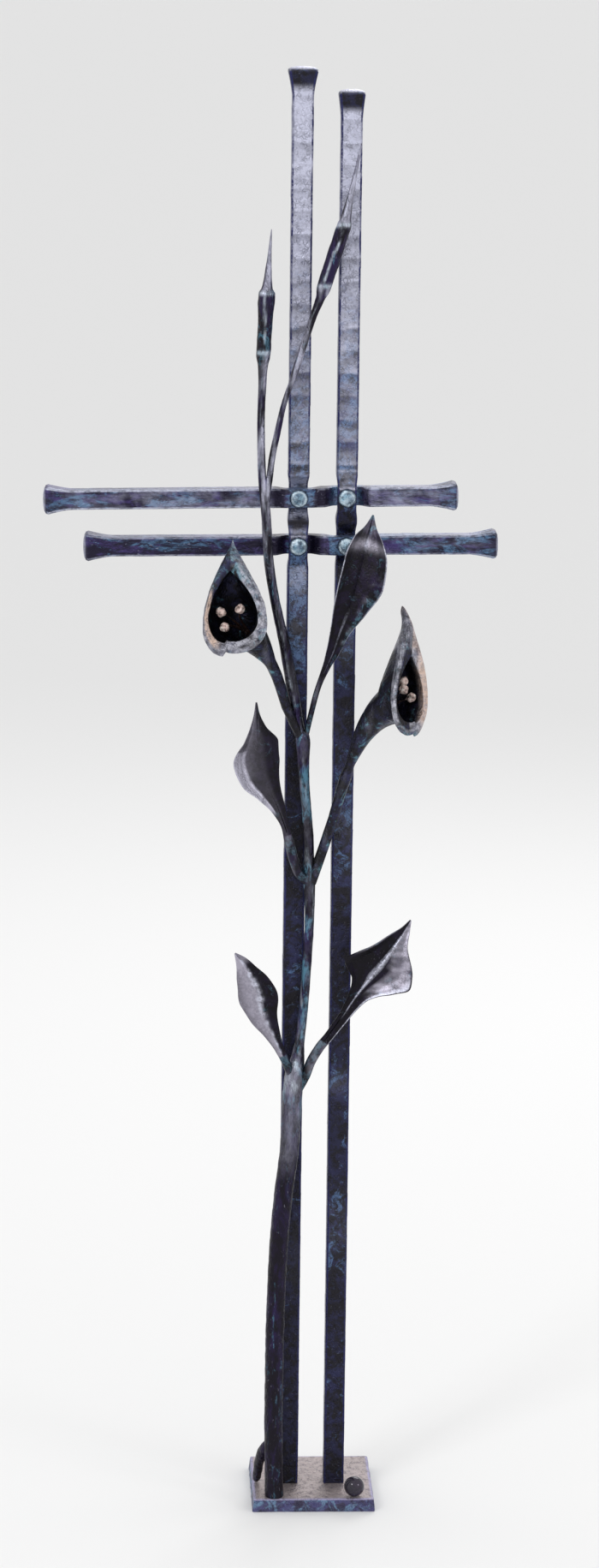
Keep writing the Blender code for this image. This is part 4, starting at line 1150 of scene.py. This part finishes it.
# each row gives x, how far ahead, height and, on the blade, the half widths at its left and right
leaves = {
    "leaf_upper_right": dict(
        look=leaf_look_upper_right,
        stalk=0.0027,
        rows=[
            (-0.0172, 0.0078, 0.7500),
            (-0.0145, 0.0095, 0.7640),
            (-0.0112, 0.0120, 0.7800),
            (-0.0040, 0.0170, 0.8100),
            (0.0035, 0.0205, 0.8300, 0.0042, 0.0036),
            (0.0085, 0.0225, 0.8420, 0.0066, 0.0054),
            (0.0152, 0.0245, 0.8630, 0.0098, 0.0086),
            (0.0240, 0.0255, 0.8880, 0.0155, 0.0172),
            (0.0312, 0.0250, 0.9120, 0.0178, 0.0248),
            (0.0362, 0.0225, 0.9320, 0.0180, 0.0224),
            (0.0395, 0.0190, 0.9490, 0.0135, 0.0155),
            (0.0428, 0.0150, 0.9620, 0.0050, 0.0060),
            (0.0457, 0.0115, 0.9730, 0.0008, 0.0008),
        ],
        facing=(0.0, -1.0, 0.12),
        fold=0.34,
        lip=0.16,
    ),
    "leaf_middle_left": dict(
        look=leaf_look_middle_left,
        stalk=0.0047,
        rows=[
            (-0.0110, 0.0066, 0.6160),
            (-0.0205, 0.0100, 0.6260),
            (-0.0252, 0.0115, 0.6380),
            (-0.0300, 0.0125, 0.6560),
            (-0.0345, 0.0140, 0.6720, 0.0036, 0.0036),
            (-0.0412, 0.0165, 0.6900, 0.0068, 0.0070),
            (-0.0495, 0.0190, 0.7080, 0.0140, 0.0108),
            (-0.0562, 0.0205, 0.7240, 0.0232, 0.0156),
            (-0.0602, 0.0205, 0.7390, 0.0258, 0.0190),
            (-0.0616, 0.0185, 0.7560, 0.0135, 0.0190),
            (-0.0622, 0.0155, 0.7700, 0.0066, 0.0082),
            (-0.0626, 0.0120, 0.7820, 0.0026, 0.0028),
            (-0.0629, 0.0085, 0.7922, 0.0008, 0.0008),
        ],
        facing=(0.10, -1.0, -0.05),
        fold=0.10,
        lip=0.30,
    ),
    "leaf_lower_left": dict(
        look=leaf_look_lower_left,
        stalk=0.0042,
        rows=[
            (-0.0232, 0.0110, 0.4160),
            (-0.0268, 0.0135, 0.4280),
            (-0.0318, 0.0165, 0.4410),
            (-0.0372, 0.0190, 0.4530, 0.0050, 0.0044),
            (-0.0446, 0.0205, 0.4700, 0.0092, 0.0074),
            (-0.0520, 0.0215, 0.4870, 0.0158, 0.0124),
            (-0.0565, 0.0210, 0.5050, 0.0215, 0.0168),
            (-0.0612, 0.0190, 0.5190, 0.0192, 0.0132),
            (-0.0675, 0.0155, 0.5300, 0.0150, 0.0080),
            (-0.0745, 0.0115, 0.5390, 0.0074, 0.0050),
            (-0.0812, 0.0080, 0.5460, 0.0008, 0.0008),
        ],
        facing=(-0.05, -1.0, 0.10),
        fold=-0.30,
        lip=0.08,
    ),
    "leaf_lower_right": dict(
        look=leaf_look_lower_right,
        stalk=0.0046,
        rows=[
            (-0.0205, 0.0110, 0.4080),
            (-0.0120, 0.0130, 0.4250),
            (-0.0068, 0.0150, 0.4400),
            (0.0010, 0.0165, 0.4540),
            (0.0098, 0.0180, 0.4675, 0.0042, 0.0052),
            (0.0228, 0.0200, 0.4870, 0.0046, 0.0064),
            (0.0360, 0.0215, 0.5085, 0.0092, 0.0104),
            (0.0432, 0.0218, 0.5185, 0.0165, 0.0165),
            (0.0505, 0.0220, 0.5280, 0.0365, 0.0262),
            (0.0575, 0.0212, 0.5370, 0.0300, 0.0340),
            (0.0645, 0.0200, 0.5460, 0.0215, 0.0285),
            (0.0755, 0.0165, 0.5610, 0.0118, 0.0100),
            (0.0825, 0.0130, 0.5715, 0.0042, 0.0047),
            (0.0878, 0.0100, 0.5795, 0.0008, 0.0008),
        ],
        facing=(0.12, -1.0, 0.0),
        fold=0.30,
        lip=0.20,
    ),
}


# %% Make the leaves
def leaf(name, shape):
    """A stalk hammered out into a blade with a creased vein and a lip."""
    stalk = [shape["stalk"]] * 3
    rows = [(*row, LEAF_THICK / 2, 1.0) if row[3:] else (*row, *stalk, 0.0) for row in shape["rows"]]
    rows[-1] = (*rows[-1][:5], LEAF_THICK / 5, 1.0)
    samples = curve_through(plant_rows(rows), LEAF_SLICE)
    forward_at = tangents_of(samples)
    slices = len(samples) - 1

    def place(number, angle):
        row = samples[number]
        forward = forward_at[number]
        front = square_to(Vector(shape["facing"]), forward)
        side = forward.cross(front)
        across = math.cos(angle)
        half = row[4] if across > 0.0 else row[3]
        flat = row[6]
        round_up = 1.0 - 0.45 * flat
        bead = 1.0 + 0.35 * fade_in(abs(across), 0.86, 0.1) * flat
        thick = row[5] * bead * math.copysign(abs(math.sin(angle)) ** round_up, math.sin(angle))
        spread = abs(across)
        lift = shape["fold"] * spread * half + shape["lip"] * half * max(spread - 0.6, 0.0) / 0.4
        crease = -0.0007 * bell(across, 0.06) * (math.sin(angle) > 0.0)
        at = Vector(row[:3]) + side * (across * half)
        wave = 0.00035 * bumps(at, 0.012, 4.0) + 0.00015 * bumps(at, 0.004, 2.0)
        where = at + front * (thick + (lift + crease + wave) * flat)
        if flat < 0.5:
            return where, leaf_stalk_look(where)
        return where, shape["look"](where, across, number / slices)

    bm = blank(48, slices)
    forge(bm, slices, place)
    return finish(bm, name, leaf_iron, [name])


for name, shape in leaves.items():
    leaf(name, shape)

# %% [markdown]
# ## Callas
# A calla is a sheet rolled into a trumpet around its stalk, with a lip that turns outwards, runs
# up into a point and laps over itself low down. One skin makes it: from the stalk along the
# outside, over the lip and down the inside. The sections are set on a middle line that turns from
# the stalk towards the viewer.

# %% How the callas are finished
def lip_amount(size, part, limit):
    """1 on the rolled lip, 0 on the outside of the cup and further in than limit."""
    return fade_in(size, 0.965, 0.03) if part <= 1.0 else fade_out(part, limit, 0.15)


def lip_grain(where, seed):
    return 0.78 + 0.80 * bumps(where, 0.005, seed) + 0.60 * bumps(where, 0.002, seed + 3.0)


def over_back(where, part, lip, pale):
    """How pale a cup is: the lip, or else its nearly black outside with a few streaks."""
    back = (0.01 + 0.28 * max(streaks(where, 0.008, 8.0) - 0.1, 0.0)) * (part <= 1.0)
    return max(pale, 0.0, back * (1.0 - lip))


def calla_stalk_look(where, front):
    """A black stalk, teal up its front, and bluer where the right one crosses the upright."""
    streak = max(bumps(where, 0.014, 3.0) + 0.1, 0.0) * fade_in(front, 0.1, 0.5)
    blue = fade_in(where.x, -0.010, 0.010) * bell(where.z - 0.697, 0.026)
    return 0.0, 0.02 + 0.30 * streak + 0.32 * blue * stalk_grain(where), 0.10 + 0.70 * max(streak, blue)


def lip_look_left(where, size, part, angle, beyond):
    """A pale lip at the right and below, a bronze inner edge at the left, and a dark blue mottled top."""
    from_left, from_right = fade_in(angle, -1.55, 0.3), fade_out(angle, 0.95, 0.3)
    upper = from_left if angle < 0.0 else from_right
    lip = lip_amount(size, part, 1.85 - 0.15 * upper)
    outline = fade_out(part, 1.30, 0.1) * upper * (0.50 if angle > 0.0 else 0.20)
    level = 0.80 - (0.72 if angle < 0.0 else 0.50) * upper + outline + 0.45 * fade_in(beyond, 0.84, 0.1)
    bronze = fade_in(part, 1.35, 0.2) * fade_out(angle, -1.2, 0.3) * fade_in(angle, -2.9, 0.3)
    pale = lip * lip_grain(where, 1.0) * level
    cool = 0.12 + 0.30 * lip * upper + lip * (0.32 if angle > 0.0 else 0.15)
    return 0.80 * lip * bronze, over_back(where, part, lip, pale), cool


def lip_look_right(where, size, part, angle, beyond):
    """A narrow pale lip, warm at the right, violet below, and a pinkish point."""
    above = fade_in(beyond, 0.34, 0.08)
    lip = max(lip_amount(size, part, 1.50 if angle < 0.0 else 1.90), above * (part < 2.1))
    warm = fade_in(angle, 0.6, 0.5) * fade_out(angle, 2.7, 0.4)
    below = fade_in(abs(angle), 2.45, 0.3) * fade_out(part, 1.50, 0.2)
    pale = lip * lip_grain(where, 3.0) * (0.95 - 0.36 * above) * (1.0 - 0.75 * below)
    blush = 0.36 * above * fade_in(angle, -0.5, 0.5)
    cool = 0.12 + 0.18 * lip * (1.0 - above) + 0.25 * below
    return lip * max(0.65 * warm * (1.0 - above), blush), over_back(where, part, lip, pale), cool


# %% The callas' routes and sections
SPATHE_WALL = 0.0024
SPATHE_THROAT = 0.7
SPATHE_NECK = 0.18
SPATHE_BEND = 0.45
SPATHE_HOOK = 0.6
SPATHE_STEPS = 12
SPATHE_RIM = 6
SPATHE_TAPER = 0.06
SPATHE_SLICE = 0.0018
STAMEN_KNOB = 0.0050
STAMEN_ROD = 0.0016
callas = {
    "calla_left": dict(
        rows=[
            (-0.0212, 0.0090, 0.7600, 0.0040),
            (-0.0272, 0.0108, 0.7730, 0.0044),
            (-0.0345, 0.0130, 0.7890, 0.0046),
            (-0.0405, 0.0150, 0.8095, 0.0052),
        ],
        mouth=(-0.0905, 0.0480, 0.8850),
        facing=(-0.12, -0.93, 0.34),
        roll=2.0,
        cup=0.100,
        left=0.0260,
        right=0.0370,
        tip=0.0765,
        bottom=0.0428,
        bend=0.0160,
        broad=0.14,
        hook=0.0000,
        flare=1.0,
        lap=-3.0,
        wrap=1,
        look=lip_look_left,
        stamens=((-0.0090, 0.0040), (0.0090, 0.0060), (-0.0060, -0.0110)),
    ),
    "calla_right": dict(
        rows=[
            (-0.0084, 0.0068, 0.6155, 0.0048),
            (-0.0030, 0.0085, 0.6330, 0.0050),
            (0.0034, 0.0100, 0.6530, 0.0050),
            (0.0118, 0.0112, 0.6800, 0.0050),
            (0.0186, 0.0120, 0.7060, 0.0052),
            (0.0236, 0.0132, 0.7225, 0.0058),
        ],
        mouth=(0.0832, 0.0420, 0.8015),
        facing=(0.68, -0.70, 0.22),
        roll=-18.6,
        cup=0.125,
        left=0.0230,
        right=0.0245,
        tip=0.0935,
        bottom=0.0375,
        bend=0.0090,
        broad=0.00,
        hook=0.0070,
        flare=1.2,
        lap=2.85,
        wrap=-1,
        look=lip_look_right,
        stamens=((0.0015, 0.0205), (0.0025, 0.0125), (0.0125, 0.0070)),
    ),
}
# each row gives the distance behind the mouth as a share of the cup, the share of the mouth's size,
# how pointed the section is, and 1 on the inner skin
SPATHE = [
    (0.80, None, 0.0, 0),
    (0.58, None, 0.0, 0),
    (0.40, None, 0.1, 0),
    (0.24, None, 0.3, 0),
    (0.12, None, 0.6, 0),
    (0.065, 0.95, 1.1, 0),
    (0.055, 1.00, 1.6, 0),
    (0.030, 1.00, 1.6, 0),
    (0.000, 0.91, 1.3, 0),
    (0.020, 0.80, 0.9, 0),
    (0.120, None, 0.5, 1),
    (0.240, None, 0.3, 1),
    (0.400, None, 0.1, 1),
    (0.550, None, 0.0, 1),
]


def flower_spine(shape):
    """Points along the middle of a stalk and its cup."""
    rows = plant_rows(shape["rows"])
    mouth = Vector(plant_point(*shape["mouth"]))
    facing = Vector(shape["facing"]).normalized()
    throat = Vector(rows[-1][:3])
    lead = (throat - Vector(rows[-2][:3])).normalized()
    pull = (mouth - throat).length * SPATHE_BEND
    handles = [throat, throat + lead * pull, mouth - facing * pull, mouth]
    line = [Vector(row[:3]) for row in rows[:-1]]
    for step in range(SPATHE_STEPS + 1):
        points = handles
        while len(points) > 1:
            points = [one.lerp(two, step / SPATHE_STEPS) for one, two in zip(points, points[1:])]
        line.append(points[0])
    return line


def flower_frames(shape):
    """Stalk lengths, the whole length, and a function for place, side, up and forward there."""
    line = flower_spine(shape)
    lengths = [0.0]
    for before, after in zip(line, line[1:]):
        lengths.append(lengths[-1] + (after - before).length)
    facing = Vector(shape["facing"]).normalized()
    forward_at = tangents_of(line)
    forward_at[-1] = facing
    top = square_to(Vector((0.0, 0.0, 1.0)), facing)
    upward_at = [Matrix.Rotation(math.radians(shape["roll"]), 3, facing) @ top]
    for number in range(len(line) - 2, -1, -1):
        turn = forward_at[number + 1].rotation_difference(forward_at[number])
        upward_at.insert(0, (turn @ upward_at[0]).normalized())

    def spine(distance):
        number = sum(1 for length in lengths[1:-1] if length <= distance)
        share = (distance - lengths[number]) / (lengths[number + 1] - lengths[number])
        here = line[number].lerp(line[number + 1], share)
        forward = forward_at[number].lerp(forward_at[number + 1], share).normalized()
        upward = square_to(upward_at[number].lerp(upward_at[number + 1], share), forward)
        return here, upward.cross(forward), upward, forward

    return lengths[: len(shape["rows"])], lengths[-1], spine


# %% Make the callas
def calla(name, shape):
    stalk, total, spine = flower_frames(shape)
    stations = [(length, *[row[3]] * 4, 0.0, 0.0) for length, row in zip(stalk, shape["rows"])]
    half = (shape["left"] + shape["right"]) / 2
    for number, (back, share, point, inner) in enumerate(SPATHE):
        if share is None:
            flare = (1 - back / SPATHE[0][0]) ** shape["flare"]
            share = SPATHE_NECK + (1 - SPATHE_NECK) * flare
        mouth = max(share - SPATHE_THROAT, 0.0) / (1 - SPATHE_THROAT)
        sizes = [half * share + (shape[way] - half) * mouth for way in ("left", "right", "tip", "bottom")]
        sizes = [size - SPATHE_WALL * inner for size in sizes]
        sizes[0] *= 1.0 - shape["broad"] * min(max(number - SPATHE_RIM - 1, 0), 2) / 2 * (inner == 0)
        sizes[2] *= 1.0 - SPATHE_TAPER * (SPATHE_RIM - 1 <= number <= SPATHE_RIM)
        part = 1.0 + 0.25 * min(max(number - SPATHE_RIM, 0), 4)
        stations.append((total - back * shape["cup"], *sizes, point, part))
    finer = []
    for first, second in zip(stations, stations[1:]):
        pieces = max(1, math.ceil(max(abs(a - b) for a, b in zip(first[:5], second[:5])) / SPATHE_SLICE))
        finer += [tuple(np.array(first) + (np.array(second) - first) * i / pieces) for i in range(pieces)]
    finer.append(stations[-1])
    smooth = np.array(finer)
    for _ in range(2):
        smooth[1:-1] = (smooth[:-2] + 2 * smooth[1:-1] + smooth[2:]) / 4
    slices = len(smooth) - 1

    def place(number, angle):
        distance, left, right, tall, low, point, part = smooth[number]
        here, side, top, forward = spine(distance)
        from_top = abs(angle)
        widest = math.acos(-point / (2 + point))
        most = math.sin(widest) * math.sin(widest / 2) ** point
        across = math.sin(from_top) * math.sin(from_top / 2) ** point / most if from_top else 0.0
        across *= right if angle > 0.0 else -left
        height = (tall - low) / 2 + (tall + low) / 2 * math.cos(from_top)
        beyond = max(height - half, 0.0) / (shape["tip"] - half)
        hooked = max(beyond - SPATHE_HOOK, 0.0) / (1 - SPATHE_HOOK)
        across -= shape["hook"] * hooked**3
        size = (left + right) / (2 * half)
        mouth = fade_in(size, 0.55, 0.3)
        turn = ((angle - shape["lap"]) * shape["wrap"] / math.tau) % 1.0
        lap = 1.0 - mouth * (0.13 * turn**9 + 0.025 * bell(turn, 0.02))
        at = here + side * (across * lap) + top * (height * lap) - forward * (shape["bend"] * beyond**1.5)
        at += forward * (0.0025 * mouth * turn**9)
        wave = bumps(at, 0.011, 3.0) + 0.5 * bumps(at, 0.004, 6.0)
        at += (at - here).normalized() * (-0.0003 + 0.0006 * wave) * mouth
        if number < len(stalk):
            return at, calla_stalk_look(at, math.sin(angle))
        return at, shape["look"](at, size, part, angle, beyond)

    bm = blank(72, slices)
    forge(bm, slices, place)
    return finish(bm, name, petal_iron, [name], sharp=60.0)


for name, shape in callas.items():
    calla(name, shape)

# %% [markdown]
# ## Stamens
# Deep in each flower three knobs stand on thin rods that share one foot. They were brushed bare,
# so they are cream and pinkish brown against the black cup, with a lumpy, melted skin.


# %% Make the stamens
def knob_look(centre):
    """Cream on the knob, and dark brown on its rod, left dark as painted shade deep in the cup."""

    def look(where, front, side):
        bare = fade_out((where - centre).length, 1.25 * STAMEN_KNOB, 0.0010)
        pale = bare * (0.98 + 1.5 * bumps(where, 0.0030, 2.0))
        return bare * max(1.4 * bumps(where, 0.0022, 5.0), 0.0), max(pale, 0.0), 0.3 * bare

    return look


def stamens(name, shape):
    total, spine = flower_frames(shape)[1:]
    depth = SPATHE[-1][0] * shape["cup"] - GAP
    for number, (across, height) in enumerate(shape["stamens"]):
        places = []
        for share, spread in ((0.0, 0.07), (0.08, 0.07), (0.40, 0.25), (0.64, 0.60), (0.82, 1.0)):
            here, side, top, forward = spine(total - depth * (1 - share))
            places.append(here + (side * across + top * height) * spread)
        ahead = (places[-1] - places[-2]).normalized()
        rows = [(*place, STAMEN_ROD * width) for place, width in zip(places, (1.5, 1.4, 1.0, 0.7))]
        for along in range(-10, 11, 2):
            width = max(math.sqrt(1.0 - (along / 10) ** 2), 0.15)
            rows.append((*(places[-1] + ahead * (STAMEN_KNOB * along / 10)), STAMEN_KNOB * width))
        nodes = [name] if number == 0 else []
        look = knob_look(places[-1])
        label = f"{name}_{number + 1}"
        round_rod(label, rows, 24, 0.0006, stamen_iron, look, nodes, 0.42, number)


for name, shape in callas.items():
    stamens(name.replace("calla", "stamens"), shape)

# %% [markdown]
# ## Ball
# A small glossy ball lies on the front right of the plate. A sphere from create_uvsphere is cut
# flat where it rests, as the solid is.


# %% Make the ball
def ball():
    low, high = [Vector(corner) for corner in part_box("ball")]
    radius = (high.x - low.x) / 2
    centre = Vector(((low.x + high.x) / 2, (low.y + high.y) / 2, high.z - radius))
    bm = bmesh.new()
    bmesh.ops.create_uvsphere(bm, u_segments=48, v_segments=32, radius=radius)
    bmesh.ops.translate(bm, verts=bm.verts[:], vec=centre)
    cut = cut_across(bm, (0, 0, low.z), (0, 0, -1), clear_outer=True)
    rim = [item for item in cut["geom_cut"] if isinstance(item, bmesh.types.BMEdge)]
    bmesh.ops.holes_fill(bm, edges=rim, sides=0)
    layer = paint_layer(bm)
    for vert in bm.verts:
        vert[layer] = (0.0, 0.15, 0.2, 1.0)
    return finish(bm, "ball", ball_iron, ["ball"])


ball()

# %% [markdown]
# ## Floor, light and camera
# The cross stands on a plain pale floor under soft studio light: a wide lamp in front at the
# left, a weaker one at the right and one behind, in an even pale surround. The camera was fitted
# to the photograph, so its place, its three angles and its lens are given as numbers.

# %% Make the floor
FLOOR_HALF = 90.0
floor_mesh = bmesh.new()
bmesh.ops.create_grid(floor_mesh, x_segments=1, y_segments=1, size=FLOOR_HALF)
floor_data = bpy.data.meshes.new("floor")
floor_mesh.to_mesh(floor_data)
floor_mesh.free()
floor = stand("floor", floor_data)
paper = bpy.data.materials.new("pale floor")
paper.use_nodes = True
paper_shader = paper.node_tree.nodes["Principled BSDF"]
paper_shader.inputs["Base Color"].default_value = (0.84, 0.84, 0.84, 1.0)
paper_shader.inputs["Roughness"].default_value = 0.85
floor_data.materials.append(paper)

# %% Set the lights
world = bpy.data.worlds.new("studio")
world.use_nodes = True
bpy.context.scene.world = world
surround = world.node_tree.nodes["Background"]
surround.inputs["Color"].default_value = (1.0, 1.0, 1.0, 1.0)
surround.inputs["Strength"].default_value = 0.90
bpy.context.scene.view_settings.view_transform = "Standard"
aim = Vector((0.0, 0.0, 0.75))
# each row gives a lamp's name, its place, its size and its power
for label, place, size, power in (
    ("front left", (-1.9, -2.4, 2.6), 0.8, 22.0),
    ("front right", (2.3, -1.8, 1.6), 0.6, 7.0),
    ("back", (0.8, 2.4, 2.4), 1.6, 20.0),
):
    lamp = bpy.data.lights.new(label, "AREA")
    lamp.shape = "SQUARE"
    lamp.size = size
    lamp.energy = power
    holder = stand(label, lamp)
    holder.location = place
    holder.rotation_euler = (aim - Vector(place)).to_track_quat("-Z", "Y").to_euler()

# %% Place the camera
CAMERA_PLACE = Vector((-0.19437, -3.98266, 1.57097))
CAMERA_YAW = 2.513
CAMERA_PITCH = 12.051
CAMERA_ROLL = 0.662
SENSOR_HEIGHT = 36.0
FOCAL_LENGTH = 97.25
yaw, pitch, roll = [math.radians(angle) for angle in (CAMERA_YAW, CAMERA_PITCH, CAMERA_ROLL)]
forward = Vector((math.sin(yaw) * math.cos(pitch), math.cos(yaw) * math.cos(pitch), -math.sin(pitch)))
level = Vector((math.cos(yaw), -math.sin(yaw), 0.0))
above = level.cross(forward)
right = level * math.cos(roll) + above * math.sin(roll)
up = above * math.cos(roll) - level * math.sin(roll)
lens = bpy.data.cameras.new("camera")
lens.sensor_fit = "VERTICAL"
lens.sensor_height = SENSOR_HEIGHT
lens.lens = FOCAL_LENGTH
camera = stand("camera", lens)
turned = Matrix((right, up, -forward)).transposed().to_4x4()
turned.translation = CAMERA_PLACE
camera.matrix_world = turned
bpy.context.scene.camera = camera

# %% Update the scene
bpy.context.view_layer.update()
